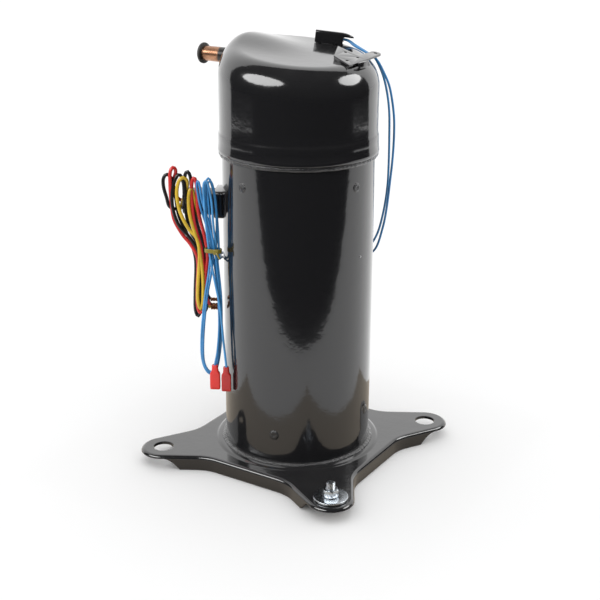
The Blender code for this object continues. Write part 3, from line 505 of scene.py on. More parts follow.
BLACK = [(107, 4, 256), (112, 8, 248), (119.4, 14.5, 251.2), (122.0, 15, 260.1), (124.4, 15.5, 270.3), (124.3, 15.5, 278.4), (120.8, 15.3, 282.4), (116.5, 14.5, 276.9),
         (113.8, 14, 261.5), (111.0, 14.3, 242.3), (102.9, 15, 223.2), (96.3, 15.5, 201.8), (97.3, 15.5, 169.6), (97.7, 15.5, 151.2), (95.2, 16.2, 143.3), (92.2, 17.2, 152.0),
         (91.3, 17.5, 175.5), (92.5, 17.5, 205.5), (100.7, 17.4, 222.0), (111.0, 17.2, 234.4), (116.1, 17.4, 250.8), (116.0, 17.6, 266.2), (113.2, 17.4, 277.7), (108.9, 16.6, 282.8),
         (105.6, 15.4, 273.6), (104.9, 15, 253.3), (100.8, 15.2, 229.2), (91.6, 15.9, 212.1), (88.9, 16.2, 190.4), (90.6, 16.4, 168.2), (90.4, 16.6, 154.0), (88.2, 17.0, 149.0),
         (85.9, 17.2, 157.4), (85.6, 17.6, 188.8), (91.2, 18, 220.5), (100.0, 17.8, 244.6), (104.3, 17.6, 268.4), (103.8, 17.8, 281.7), (101.0, 18.3, 286.3), (98.2, 19, 279.4),
         (97.3, 19.4, 259.5), (94.7, 19.5, 242.3), (89.5, 19.4, 222.9), (84.3, 19, 199.3), (85.7, 18.2, 178.9), (85.9, 17.7, 168), (82.8, 17.5, 161.5)]
RED = [(107, 0, 253), (113, 5, 257), (117.2, 11.5, 270.3), (112.9, 13.5, 284.3), (114.7, 16, 289.4), (117.4, 17.5, 285.2), (117.9, 17.3, 273.8), (117.8, 15.6, 258.0),
       (115.6, 15.8, 239.7), (107.9, 16.4, 225.0), (100.0, 17.2, 215.1), (93.7, 18, 200.7), (94.9, 18, 170.6), (94.9, 18.2, 154.4), (92.2, 18.8, 147.5), (89.5, 19.6, 156.1),
       (87.8, 20, 181.5), (89.6, 20.4, 211.5), (95.2, 20.2, 235.7), (97.6, 20.1, 259.7), (97.2, 20.4, 275.0), (94.6, 21.0, 281.3), (92.3, 21.6, 272.4), (91.9, 21.8, 253.9),
       (89.7, 21.6, 240.1), (86.1, 21.2, 224.5), (83.9, 20.8, 205.8), (86.0, 20.2, 185.6), (86.2, 19.9, 167.4), (82.8, 19.5, 156.8)]
YELLOW = [(107, -3, 250), (112, 2, 246), (108.6, 9, 253.8), (103.0, 14.6, 268.5), (102.0, 17.0, 276.9), (105.2, 19.3, 280.6), (109.2, 20.2, 277.1), (111.3, 20.6, 266.9),
          (110.1, 20.4, 253.1), (106.6, 20.4, 242.2), (100.7, 20.8, 231.3), (93.4, 21.4, 222.5), (91.4, 21.4, 206.8), (93.3, 21.2, 181.8), (94.2, 21, 162.6), (91.8, 21, 152.4),
          (89.2, 21.2, 161.7), (88.8, 21.3, 187.0), (91.7, 21.4, 214.7), (97.0, 21.5, 234.3), (99.9, 21.7, 248.2), (100.2, 21.4, 263.0), (98.1, 20.6, 270.9), (95.9, 18.8, 264.2),
          (94.1, 17.2, 239.7), (88.3, 15.6, 214.9), (84.4, 15.2, 192.0), (86.6, 15, 174.8), (86.4, 15.4, 160.7), (82.8, 16.0, 152.4)]


def mm(p):
    return Vector(p) * MM


blue = wire_mat("insulation_blue", (0.030, 0.185, 0.42), 0.27)
blue_light = wire_mat("insulation_blue_b", (0.055, 0.25, 0.52), 0.27)
black_ins = wire_mat("insulation_black", (0.008, 0.008, 0.009), 0.30)
red_ins = wire_mat("insulation_red", (0.50, 0.020, 0.018), 0.30)
yellow_ins = wire_mat("insulation_yellow", (0.56, 0.37, 0.020), 0.30)

top_a = [COVER @ Vector((0.0062, -0.0019, 0.0026)), COVER @ Vector((0.0170, -0.0023, 0.0020))]
top_b = [COVER @ Vector((0.0062, 0.0019, 0.0026)), COVER @ Vector((0.0170, 0.0021, 0.0020))]
mid_a, mid_b = [], []
for (xa, ya), (xb, yb) in (((26, 54.0), (25, 57.8)), ((41, 48.5), (40, 52.6))):
    mid_a.append(mm((xa, ya, cap_height(xa * MM, ya * MM) / MM + 2.0)))
    mid_b.append(mm((xb, yb, cap_height(xb * MM, yb * MM) / MM + 3.2)))

route_a = top_a + mid_a + [mm(p) for p in SIDE_A] + [plug_point(*p) for p in HANK_A]
route_b = top_b + mid_b + [mm(p) for p in SIDE_B] + [plug_point(*p) for p in HANK_B]
lead_a, pts_a, len_a = cord_curve("lead_blue_a", route_a, 0.0022, blue, 0.0020)
lead_b, pts_b, len_b = cord_curve("lead_blue_b", route_b, 0.0022, blue_light, 0.0020)
for nm, ctrl, mt in (("black", BLACK, black_ins), ("red", RED, red_ins), ("yellow", YELLOW, yellow_ins)):
    cord_curve("lead_power_" + nm, [plug_point(*p) for p in ctrl], 0.0034, mt, 0.0022)


def connector(name, u, v, z, w, rgb):
    """Red insulated quick-connect: flat sleeve, necked to the wire barrel at its top."""
    levels = [(-12.4, 0.86, 0.80), (-12.0, 0.97, 0.94), (-10, 1.0, 1.0), (2.0, 1.0, 1.0), (4.0, 0.97, 1.02), (6.5, 0.70, 1.04), (9.0, 0.62, 1.05), (12.2, 0.60, 1.05), (12.6, 0.54, 0.9), (12.6, 0.40, 0.62), (8.0, 0.36, 0.55)]
    bm = bmesh.new()
    rings = []
    for dz, kw, kt in levels:
        ring = []
        for i in range(40):
            a = 2 * math.pi * i / 40
            e = 0.32 if dz < 5 else 0.8
            x = w / 2 * kw * math.copysign(abs(math.cos(a)) ** e, math.cos(a))
            y = 2.2 * kt * math.copysign(abs(math.sin(a)) ** e, math.sin(a))
            ring.append(bm.verts.new(plug_point(u + x, v + y, z + dz)))
        rings.append(ring)
    for a, b in zip(rings, rings[1:]):
        for j in range(40):
            bm.faces.new((a[j], a[(j + 1) % 40], b[(j + 1) % 40], b[j]))
    bm.faces.new(rings[0])
    bm.faces.new(list(reversed(rings[-1])))
    bmesh.ops.recalc_face_normals(bm, faces=bm.faces)
    me = bpy.data.meshes.new(name)
    bm.to_mesh(me)
    bm.free()
    n = Nodes(name + "_vinyl", rgb, 0.26, coat=0.3, coat_rough=0.1)
    n.b.inputs["Subsurface Weight"].default_value = 0.15
    n.b.inputs["Subsurface Radius"].default_value = (0.004, 0.001, 0.0006)
    f = n.noise(120, 4, 0.6)
    n.set("Base Color", n.mix(f, rgb, tuple(c * 0.7 for c in rgb)))
    n.bump(n.noise(300, 3, 0.6), 0.1, 0.0004)
    return link(name, me), n.mat


con_a, con_a_mat = connector("connector_red_a", 77.0, 35.2, 88.5, 9.8, (0.62, 0.022, 0.016))
con_b, con_b_mat = connector("connector_red_b", 65.6, 39.8, 88.8, 9.2, (0.40, 0.012, 0.010))
finish_mesh(con_a, con_a_mat, replaces=["quick_connect_a"])
finish_mesh(con_b, con_b_mat, replaces=["quick_connect_b"])

term_mat = metal("terminal_copper", (0.40, 0.17, 0.085), 0.34, 260, dark=0.45).mat
for i, (v, z) in enumerate([(17.5, 161.5), (19.5, 156.8), (16.0, 152.4)]):
    pr = [(0, 0), (1.3, 0), (1.75, 0.4), (1.8, 1.6), (1.45, 2.0), (1.45, 2.7), (1.8, 3.1), (1.8, 4.3), (1.5, 4.7), (1.5, 5.2), (1.8, 5.6), (1.8, 6.8), (1.2, 7.0), (1.1, 5.5), (0, 5.5)]
    t = lathe("terminal_%d" % (i + 1), pr, 28, turn_to(ER, plug_point(75.4, v, z)))
    finish_mesh(t, term_mat, replaces=["power_lead_terminal_%d" % (i + 1)])

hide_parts("thermostat_lead_a", "thermostat_lead_hank")
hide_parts("thermostat_lead_b")
for i, nm in enumerate(("black", "red", "yellow")):
    if i == 0:
        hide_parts("power_lead_hank")


def strap(name, loops, width, thick, mat):
    """Flat band along a closed loop of points; the lock head is made separately."""
    bm = bmesh.new()
    n = len(loops)
    rings = []
    for i in range(n):
        p = loops[i]
        t = (loops[(i + 1) % n] - loops[i - 1]).normalized()
        out = t.cross(ZUP).normalized()
        ring = []
        for k in range(16):
            a = 2 * math.pi * k / 16
            w = width / 2 * math.copysign(abs(math.cos(a)) ** 0.45, math.cos(a))
            h = thick / 2 * math.copysign(abs(math.sin(a)) ** 0.6, math.sin(a))
            ring.append(bm.verts.new(p + ZUP * w + out * h))
        rings.append(ring)
    for i in range(n):
        a, b = rings[i], rings[(i + 1) % n]
        for j in range(16):
            bm.faces.new((a[j], a[(j + 1) % 16], b[(j + 1) % 16], b[j]))
    bmesh.ops.recalc_face_normals(bm, faces=bm.faces)
    me = bpy.data.meshes.new(name)
    bm.to_mesh(me)
    bm.free()
    return link(name, me)


tie_mat = moulded("tie_olive", (0.17, 0.135, 0.018), 0.36, coat=0.1)
loop = []
for i in range(96):
    a = 2 * math.pi * i / 96
    cx, sy = math.cos(a), math.sin(a)
    loop.append(plug_point(77.3 + 7.5 * math.copysign(abs(cx) ** 0.7, cx), 28.4 + 5.3 * math.copysign(abs(sy) ** 0.7, sy), 214 + 0.7 * math.sin(a + 0.6)))
tie = strap("hank_tie_strap", loop, 0.0040, 0.0012, tie_mat)
finish_mesh(tie, tie_mat, replaces=["hank_tie"], sharp=60)
head = rounded_box("hank_tie_head", (0.0052, 0.0030, 0.0050), 0.0007, Matrix.Translation(plug_point(74.0, 33.6, 214)) @ PLUG_FRAME)
finish_mesh(head, tie_mat)
tail_pts = [plug_point(74.0, 33.6, 214), plug_point(73.2, 35.4, 213.2), plug_point(71.8, 36.8, 211.2), plug_point(70.4, 37.2, 208.6)]
tl = bpy.data.curves.new("hank_tie_tail", "CURVE")
tl.dimensions = "3D"
tl.extrude = 0.0
tl.bevel_depth = 0.0009
tl.bevel_resolution = 3
tl.use_fill_caps = True
sp = tl.splines.new("POLY")
tp = smooth_route(tail_pts, 0.0012)
sp.points.add(len(tp) - 1)
for p, q in zip(sp.points, tp):
    p.co = (*q, 1)
tail = bpy.data.objects.new("hank_tie_tail", tl)
bpy.context.scene.collection.objects.link(tail)
tl.materials.append(tie_mat)
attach(tail, "housing")

# ------------------------------------------------------------------ shell, welds, cap
paint = enamel("enamel_gloss")
paint_weld = enamel("enamel_weld", weld=True)
shell = lathe("shell_skin", [(67.6, 15.0), (70.6, 15.0), (70.9, 15.1), (71.0, 15.4), (71.0, 15.8), (71.0, 17), (71.0, 60), (71.0, 110), (71.0, 160),
                             (71.0, 215), (71.0, 265), (71.0, 300), (71.0, 314.5), (71.0, 315.8), (71.0, 316.2), (70.9, 316.4), (70.6, 316.5),
                             (67.6, 316.5), (67.6, 300), (67.6, 30)], 224)
finish_mesh(shell, paint, replaces=["shell_tube"])


def bead(name, r, z, rad, pitch, amp, mat, squash=1.0):
    """Weld bead round the shell, with the overlapping ripples of the pool."""
    n = 720
    count = round(2 * math.pi * r / pitch)
    bm = bmesh.new()
    rings = []
    for i in range(n):
        a = 2 * math.pi * i / n
        ph = (a * count / (2 * math.pi)) % 1.0
        here = Vector((math.cos(a) * 9, math.sin(a) * 9, z * 0.1))
        w = amp * (math.sqrt(max(0, 1 - (ph - 0.15) ** 2)) - 0.75) * (0.6 + 0.8 * noise.noise(here * 0.6)) + 0.45 * noise.noise(here) + 0.22 * noise.noise(here * 4)
        ring = []
        for k in range(14):
            b = 2 * math.pi * k / 14
            rr = rad + w * (0.5 + 0.5 * math.cos(b))
            skew = 0.0
            ring.append(bm.verts.new(((r + rr * math.cos(b)) * MM * math.cos(a + skew), (r + rr * math.cos(b)) * MM * math.sin(a + skew), (z + rr * squash * math.sin(b)) * MM)))
        rings.append(ring)
    for i in range(n):
        a, b = rings[i], rings[(i + 1) % n]
        for j in range(14):
            bm.faces.new((a[j], a[(j + 1) % 14], b[(j + 1) % 14], b[j]))
    bmesh.ops.recalc_face_normals(bm, faces=bm.faces)
    me = bpy.data.meshes.new(name)
    bm.to_mesh(me)
    bm.free()
    ob = link(name, me)
    return finish_mesh(ob, mat, sharp=70)


bead("weld_girth", 71.3, 303.2, 2.2, 4.6, 1.1, paint_weld, 1.15)
bead("weld_foot", 71.6, 15.4, 3.2, 5.2, 1.3, paint_weld, 0.85)


def weld_mark(name, az_deg, z, r=5.0, h=0.9):
    """Plug weld: a rough low button with a crater."""
    az = math.radians(az_deg)
    bm = bmesh.new()
    rings = []
    for k in range(13):
        f = k / 12
        if k == 0:
            prof = h * 0.45
            rings.append([bm.verts.new((0, 0, prof * MM))])
            continue
        ring = []
        for i in range(48):
            a = 2 * math.pi * i / 48
            rr = r * f * (1 + 0.10 * noise.noise(Vector((math.cos(a) * 1.6, math.sin(a) * 1.6, az_deg * 0.3 + z * 0.01))))
            hh = h * (0.45 + 0.75 * math.sin(math.pi * min(1, f * 0.95) ** 1.3)) * (1 - f ** 5) - 0.25 * f ** 6
            hh += 0.18 * noise.noise(Vector((rr * math.cos(a) * 0.8, rr * math.sin(a) * 0.8, az_deg))) * (1 - f)
            ring.append(bm.verts.new((rr * math.cos(a) * MM, rr * math.sin(a) * MM, hh * MM)))
        rings.append(ring)
    for a, b in zip(rings, rings[1:]):
        for j in range(48):
            j2 = (j + 1) % 48
            if len(a) == 1:
                bm.faces.new((a[0], b[j], b[j2]))
            else:
                bm.faces.new((a[j], b[j], b[j2], a[j2]))
    # bend round the shell
    for v in bm.verts:
        x, y, hgt = v.co
        ang = az + x / SHELL_R
        rad = SHELL_R + hgt
        v.co = Vector((rad * math.cos(ang), rad * math.sin(ang), z * MM + y))
    bmesh.ops.recalc_face_normals(bm, faces=bm.faces)
    me = bpy.data.meshes.new(name)
    bm.to_mesh(me)
    bm.free()
    return finish_mesh(link(name, me), paint_weld, sharp=80)


for i, (a, z) in enumerate([(-103.15, 281.3), (-11.07, 281.4), (78.5, 281.3), (168.5, 281.3), (-76.1, 45.4), (9.4, 54.0), (99.0, 50.0), (189.0, 48.0)]):
    weld_mark("weld_mark_%d" % (i + 1), a, z, 4.8 if z > 100 else 5.2)
nick = weld_mark("shell_nick", -4.5, 214.7, 1.1, 0.5)
nick.data.materials.clear()
nick.data.materials.append(metal("bare_nick", (0.75, 0.75, 0.76), 0.3, 300).mat)


def make_cap_skin():
    n = 224
    rings = []
    bm = bmesh.new()
    ri = CAP_R - 0.0027
    fr = [0.0] + [i / 26 * 0.72 for i in range(1, 27)] + [0.72 + 0.27 * (i / 20) for i in range(1, 21)] + [0.993, 0.9965, 0.9985, 0.9995]
    fr = fr[:-1]
    for f in fr:
        if f == 0:
            rings.append([bm.verts.new((0, 0, cap_height(0, 0)))])
            continue
        ring = []
        for i in range(n):
            a = 2 * math.pi * i / n
            x, y = CAP_R * f * math.cos(a), CAP_R * f * math.sin(a)
            ring.append(bm.verts.new((x, y, cap_height(x, y))))
        rings.append(ring)
    wall = [(73.2, None, -0.4), (73.2, None, -4.0), (73.2, 345, 0), (73.2, 334, 0), (73.2, 324.2, 0), (73.35, 323.0, 0), (73.8, 322.0, 0), (74.0, 320.8, 0), (74.05, 316, 0), (74.15, 309.6, 0),
            (74.4, 308.9, 0), (74.5, 308.0, 0), (74.5, 306.2, 0), (74.2, 305.5, 0), (73.6, 305.2, 0), (71.4, 305.2, 0), (71.4, 320.8, 0), (70.5, 323.0, 0), (70.5, 345, 0)]
    for r, z, dz in wall:
        ring = []
        for i in range(n):
            a = 2 * math.pi * i / n
            x, y = r * MM * math.cos(a), r * MM * math.sin(a)
            xe, ye = CAP_R * math.cos(a), CAP_R * math.sin(a)
            zz = z * MM if z is not None else cap_height(xe, ye) + dz * MM
            ring.append(bm.verts.new((x, y, zz)))
        rings.append(ring)
    for f in (0.96, 0.86, 0.6, 0.3, 0.0):
        if f == 0:
            rings.append([bm.verts.new((0, 0, cap_height(0, 0) - 0.0027))])
            continue
        ring = []
        for i in range(n):
            a = 2 * math.pi * i / n
            x, y = CAP_R * f * math.cos(a), CAP_R * f * math.sin(a)
            ring.append(bm.verts.new((x * ri / CAP_R, y * ri / CAP_R, cap_height(x, y) - 0.0027)))
        rings.append(ring)
    for a, b in zip(rings, rings[1:]):
        for j in range(n):
            j2 = (j + 1) % n
            if len(a) == 1:
                bm.faces.new((a[0], b[j], b[j2]))
            elif len(b) == 1:
                bm.faces.new((a[j], b[0], a[j2]))
            else:
                bm.faces.new((a[j], b[j], b[j2], a[j2]))
    bmesh.ops.recalc_face_normals(bm, faces=bm.faces)
    me = bpy.data.meshes.new("cap_skin")
    bm.to_mesh(me)
    bm.free()
    return finish_mesh(link("cap_skin", me), paint, replaces=["top_cap"], sharp=50)


make_cap_skin()
bottom = lathe("bottom_cap_skin", [(0, 5.6), (15, 6.1), (30, 7.6), (42, 10.1), (54, 13.6), (59, 16.3), (62, 19.2), (63.6, 22), (64.4, 25), (64.4, 34), (67.3, 34), (67.3, 24),
                                   (66.6, 20.2), (65.6, 17.8), (64.0, 15.6), (61.0, 13.4), (56, 11.2), (44, 7.8), (30, 5.0), (15, 3.35), (0, 2.8)], 128)
finish_mesh(bottom, paint, replaces=["bottom_cap"], sharp=50)


# ------------------------------------------------------------------ foot plate
def plate_outline(inset=0.0, arc=28, line=8):
    r = FOOT_R - inset
    hx, hy = HOLE_HALF, -HOLE_HALF
    kx, ky = PLATE_KINK, -PLATE_HALF
    d = math.hypot(hx - kx, hy - ky)
    flare = math.atan2(hy - ky, hx - kx) - math.asin(FOOT_R / d)
    nrm = Vector((-math.sin(flare), math.cos(flare)))
    py = ky + inset
    p0 = Vector((kx, ky)) + nrm * inset
    kink = Vector((p0.x + (py - p0.y) / math.tan(flare), py))
    tang = Vector((hx, hy)) - nrm * r
    # soften the kink with a short arc
    a_in = Vector((kink.x - 0.011, py))
    dirf = (tang - kink).normalized()
    a_out = kink + dirf * 0.011
    soft = []
    for i in range(9):
        t = i / 8
        soft.append(a_in * (1 - t) ** 2 + kink * 2 * t * (1 - t) + a_out * t * t)
    quarter = soft + [a_out.lerp(tang, i / line) for i in range(1, line)]
    a0 = math.atan2(tang.y - hy, tang.x - hx)
    a1 = -math.pi / 2 - a0
    for i in range(0, arc + 1):
        a = a0 + (a1 - a0) * i / arc
        quarter.append(Vector((hx + r * math.cos(a), hy + r * math.sin(a))))
    half = quarter[:len(soft) + line - 1]
    quarter += [Vector((-p.y, -p.x)) for p in reversed(half)]
    out = []
    for q in range(4):
        c, s = math.cos(q * math.pi / 2), math.sin(q * math.pi / 2)
        out += [Vector((p.x * c - p.y * s, p.x * s + p.y * c)) for p in quarter]
    return out


def make_plate():
    bm = bmesh.new()

    def ring(pts, z):
        return [bm.verts.new((p[0], p[1], z)) for p in pts]

    def strip(a, b):
        k = len(a)
        for j in range(k):
            bm.faces.new((a[j], a[(j + 1) % k], b[(j + 1) % k], b[j]))

    def fill(loops):
        edges = []
        for lp in loops:
            for j in range(len(lp)):
                e = bm.edges.get((lp[j], lp[(j + 1) % len(lp)]))
                edges.append(e or bm.edges.new((lp[j], lp[(j + 1) % len(lp)])))
        bmesh.ops.triangle_fill(bm, edges=edges, use_beauty=True, use_dissolve=False)

    top = PLATE_TOP
    rr = 0.0036
    outer = [ring(plate_outline(0.0006), 0.0), ring(plate_outline(0.0), 0.0008), ring(plate_outline(0.0), 0.0052)]
    for i in range(9):
        a = math.pi / 2 * i / 8
        outer.append(ring(plate_outline(rr * (1 - math.cos(a))), top - rr + rr * math.sin(a)))
    outer.append(ring(plate_outline(rr + 0.0006), top))
    for a, b in zip(outer, outer[1:]):
        strip(a, b)
    # raised ring round the shell, and the hole rims
    cent = []
    for r, z in ((0.0815, 0.0), (0.0809, 0.0), (0.0800, 0.0003), (0.0790, 0.0010), (0.0780, 0.0013), (0.0740, 0.0014)):
        cent.append(ring(circle(0, 0, r, 160), top + z))
    for a, b in zip(cent, cent[1:]):
        strip(b, a)
    c_in = [ring(circle(0, 0, 0.0630, 160), top + 0.0014), ring(circle(0, 0, 0.0630, 160), top - PLATE_T)]
    strip(c_in[0], cent[-1])
    strip(c_in[1], c_in[0])
    tops, bots = [], []
    for sx in (-1, 1):
        for sy in (-1, 1):
            rim = []
            cx, cy = sx * HOLE_HALF, sy * HOLE_HALF
            for r, z in ((HOLE_R + 0.0012, top), (HOLE_R + 0.0007, top), (HOLE_R + 0.0002, top - 0.0002), (HOLE_R, top - 0.0007), (HOLE_R, top - PLATE_T + 0.0004), (HOLE_R + 0.0003, top - PLATE_T)):
                rim.append(ring(circle(cx, cy, r, 56), z))
            for a, b in zip(rim, rim[1:]):
                strip(b, a)
            tops.append(rim[0])
            bots.append(rim[-1])
    fill([outer[-1], cent[0]] + tops)
    pocket = []
    for i in range(5):
        a = math.pi / 2 * i / 4
        pocket.append(ring(plate_outline(PLATE_T + 0.0015 * (1 - math.cos(a))), top - PLATE_T - 0.0015 + 0.0015 * math.sin(a)))
    lip = ring(plate_outline(PLATE_T), 0.0006)
    foot = ring(plate_outline(PLATE_T - 0.0005), 0.0)
    strip(foot, lip)
    strip(lip, pocket[0])
    for a, b in zip(pocket, pocket[1:]):
        strip(a, b)
    fill([pocket[-1], c_in[1]] + bots)
    strip(outer[0], foot)
    bmesh.ops.recalc_face_normals(bm, faces=bm.faces)
    me = bpy.data.meshes.new("foot_plate")
    bm.to_mesh(me)
    bm.free()
    ob = link("foot_plate", me)
    cutters = []
    for i in range(4):
        e = radial(math.radians(45 + 90 * i))
        pts = [(0.1165, -0.004), (0.170, -0.004), (0.170, 0.01151)]
        for k in range(9):                      # soft curve up to the flat sheet of the foot
            t = k / 8
            x = 0.1375 + (0.1195 - 0.1375) * t
            pts.append((x, 0.01151 - 0.0155 * (t ** 1.7)))
        mt = Matrix((e, ZUP, e.cross(ZUP))).transposed().to_4x4()
        cuto = outline("cut_%d" % i, pts, 0.040, 0.0, mt)
        md = ob.modifiers.new("cut_%d" % i, "BOOLEAN")
        md.operation = "DIFFERENCE"
        md.solver = "EXACT"
        md.object = cuto
        cutters.append(cuto)
    bpy.context.view_layer.update()
    dg = bpy.context.evaluated_depsgraph_get()
    cut_mesh = bpy.data.meshes.new_from_object(ob.evaluated_get(dg))
    ob.modifiers.clear()
    ob.data = cut_mesh
    for c in cutters:
        bpy.data.objects.remove(c, do_unlink=True)
    return finish_mesh(ob, paint, replaces=["base_plate"], sharp=32)


make_plate()

# ------------------------------------------------------------------ front foot hardware
FOOT = Vector((HOLE_HALF, -HOLE_HALF, 0))
zn = zinc()
prof = [(0, 3.3), (6.6, 3.3), (7.3, 3.8), (7.5, 4.4), (7.5, 7.8), (8.2, 8.6), (12.4, 9.6), (12.8, 9.9), (12.8, 10.8), (12.5, 11.1), (4.0, 11.1), (4.0, 14.4)]
z = 14.4
while z < 29.6:
    prof += [(4.0, z), (3.55, z + 0.35), (3.55, z + 0.45), (4.0, z + 0.8), (4.0, z + 0.95)]
    z += 1.05
prof += [(3.5, 30.2), (3.2, 30.5), (0, 30.5)]
bolt = lathe("foot_bolt", prof, 48, Matrix.Translation(FOOT))
finish_mesh(bolt, zn, replaces=["hold_down_bolt"], sharp=40)
washer = lathe("foot_washer", fillet([(4.4, 16.8), (16.0, 16.8), (16.0, 14.9), (4.4, 14.9)], [0.3, 0.55, 0.3, 0.3], 4), 96, Matrix.Translation(FOOT))
finish_mesh(washer, zn, replaces=["hold_down_washer"], sharp=40)
hexa = [(7.5 * MM * math.cos(math.radians(60 * i + 12)), 7.5 * MM * math.sin(math.radians(60 * i + 12))) for i in range(6)]


def make_nut():
    bm = bmesh.new()
    rings = []
    half = 3.4

    def hex_r(a):
        b = (a - math.radians(12)) % (math.pi / 3) - math.pi / 6
        return 7.5 * math.cos(math.pi / 6) / math.cos(b)
    prof = [(4.2, 3.1, 1), (4.6, half, 1), (6.2, half, 1), (6.55, half - 0.08, 0), (99, half - 0.45, 2), (99, -half + 0.45, 2), (6.55, -half + 0.08, 0), (6.2, -half, 1), (4.6, -half, 1), (4.2, -3.1, 1)]
    n = 144
    for r, zz, kind in prof:
        ring = []
        for i in range(n):
            a = 2 * math.pi * i / n
            hr = hex_r(a)
            if kind == 2:
                extra = (hr - 6.5) * 0.55
                z2 = math.copysign(half - 0.25 - extra, zz)
                ring.append(bm.verts.new((hr * MM * math.cos(a), hr * MM * math.sin(a), z2 * MM)))
            else:
                ring.append(bm.verts.new((min(r, hr) * MM * math.cos(a), min(r, hr) * MM * math.sin(a), zz * MM)))
        rings.append(ring)
    k = len(rings)
    for i in range(k):
        a, b = rings[i], rings[(i + 1) % k]
        for j in range(n):
            bm.faces.new((a[j], a[(j + 1) % n], b[(j + 1) % n], b[j]))
    bmesh.ops.recalc_face_normals(bm, faces=bm.faces)
    me = bpy.data.meshes.new("foot_nut")
    bm.to_mesh(me)
    bm.free()
    ob = link("foot_nut", me, Matrix.Translation(FOOT + Vector((0, 0, 0.0205))))
    return finish_mesh(ob, zn, replaces=["hold_down_nut"], sharp=28)


make_nut()

# ------------------------------------------------------------------ refrigerant stubs and their plugs
d_frame = turn_to((-1, 0, 0), (0, 0, DISCHARGE_Z))
s_frame = turn_to(radial(SUCTION_AZ), (0, 0, SUCTION_Z))
stub = lathe("discharge_stub", fillet([(5.7, 66), (6.9, 66), (6.9, 73.9), (9.0, 73.9), (8.5, 76.5), (7.0, 78), (6.9, 104.5), (5.7, 104.5)], [0.2, 0.2, 0.6, 0.9, 1.0, 1.2, 0.5, 0.4], 5), 72, d_frame)
finish_mesh(stub, painted_copper("copper_discharge", 0.0865), replaces=["discharge_fitting"], sharp=45)
stub2 = lathe("suction_stub", fillet([(9.9, 66), (11.0, 66), (11.0, 71.6), (14.0, 71.6), (13.2, 74.5), (11.1, 76.5), (11.0, 100), (9.9, 100)], [0.2, 0.2, 0.6, 0.9, 1.0, 1.2, 0.5, 0.4], 5), 80, s_frame)
finish_mesh(stub2, painted_copper("copper_suction", 0.0830), replaces=["suction_fitting"], sharp=45)
rb = rubber()
plug1 = lathe("discharge_stopper", fillet([(0, 93.5), (4.6, 93.5), (5.3, 94.8), (5.3, 104.8), (9.7, 104.8), (9.7, 106.8), (9.0, 107.4), (3.2, 107.4), (2.6, 110.5), (0, 110.8)], [0, 0.8, 0.6, 0.2, 0.5, 0.5, 0.3, 0.8, 0.6, 0], 4), 72, d_frame)
finish_mesh(plug1, rb, body="discharge_plug", replaces=["discharge_plug"], sharp=50)
plug2 = lathe("suction_stopper", fillet([(0, 88), (8.6, 88), (9.4, 89.4), (9.4, 100.3), (14.2, 100.3), (14.2, 102.4), (13.5, 103), (4.2, 103), (3.5, 106), (0, 106.4)], [0, 0.8, 0.6, 0.2, 0.5, 0.5, 0.3, 0.8, 0.6, 0], 4), 80, s_frame)
finish_mesh(plug2, rb, body="suction_plug", replaces=["suction_plug"], sharp=50)

# ------------------------------------------------------------------ terminal and moulded plug
pm = moulded("plug_black", (0.011, 0.011, 0.012), 0.34, coat=0.1)
plug = rounded_box("power_plug", (0.0360, 0.0264, 0.0204), 0.0030, Matrix.Translation(plug_point(90.2, 0, 253.5)) @ PLUG_FRAME, 5)
finish_mesh(plug, pm, replaces=["molded_plug"], sharp=40)
for i, du in enumerate((-8, -2, 4)):
    rib = rounded_box("power_plug_rib_%d" % i, (0.0022, 0.0272, 0.0212), 0.0007, Matrix.Translation(plug_point(90.2 + du, 0, 253.5)) @ PLUG_FRAME, 3)
    finish_mesh(rib, pm, sharp=40)
for i, (v, z) in enumerate([(4, 256), (0, 253), (-3, 250)]):
    seal = lathe("wire_seal_%d" % i, [(1.9, -4), (3.0, -4), (2.9, -1.5), (2.3, -1.2), (2.3, -0.4), (2.7, 0), (2.7, 0.8), (2.3, 1.4), (1.9, 1.6)], 32, turn_to(ER, plug_point(107.6, v, z)))
    finish_mesh(seal, pm, sharp=50)


def make_fence():
    """Sheet collar welded round the terminal: follows the shell on its inner side."""
    bm = bmesh.new()
    loops = []

    def rect(hv, hz, rad, uo, follow):
        pts = []
        for cxs, czs, a0 in ((1, 1, 0), (-1, 1, 90), (-1, -1, 180), (1, -1, 270)):
            for k in range(7):
                a = math.radians(a0 + 90 * k / 6)
                v = cxs * (hv - rad) + rad * math.cos(a)
                zz = czs * (hz - rad) + rad * math.sin(a)
                u = math.sqrt(max(0, 71.1 ** 2 - v * v)) if follow else uo
                pts.append(bm.verts.new(plug_point(u, v, 253.5 + zz)))
        return pts
    loops = [rect(15.5, 13.0, 3.5, 0, True), rect(15.5, 13.0, 3.5, 77.4, False), rect(15.1, 12.6, 3.1, 78.0, False), rect(14.2, 11.2, 2.2, 78.0, False), rect(13.9, 10.9, 2.0, 77.4, False), rect(13.9, 10.9, 2.0, 0, True)]
    k = len(loops)
    for i in range(k):
        a, b = loops[i], loops[(i + 1) % k]
        for j in range(len(a)):
            j2 = (j + 1) % len(a)
            bm.faces.new((a[j], a[j2], b[j2], b[j]))
    bmesh.ops.recalc_face_normals(bm, faces=bm.faces)
    me = bpy.data.meshes.new("terminal_collar")
    bm.to_mesh(me)
    bm.free()
    return finish_mesh(link("terminal_collar", me), paint, replaces=["terminal_fence"], sharp=50)


make_fence()


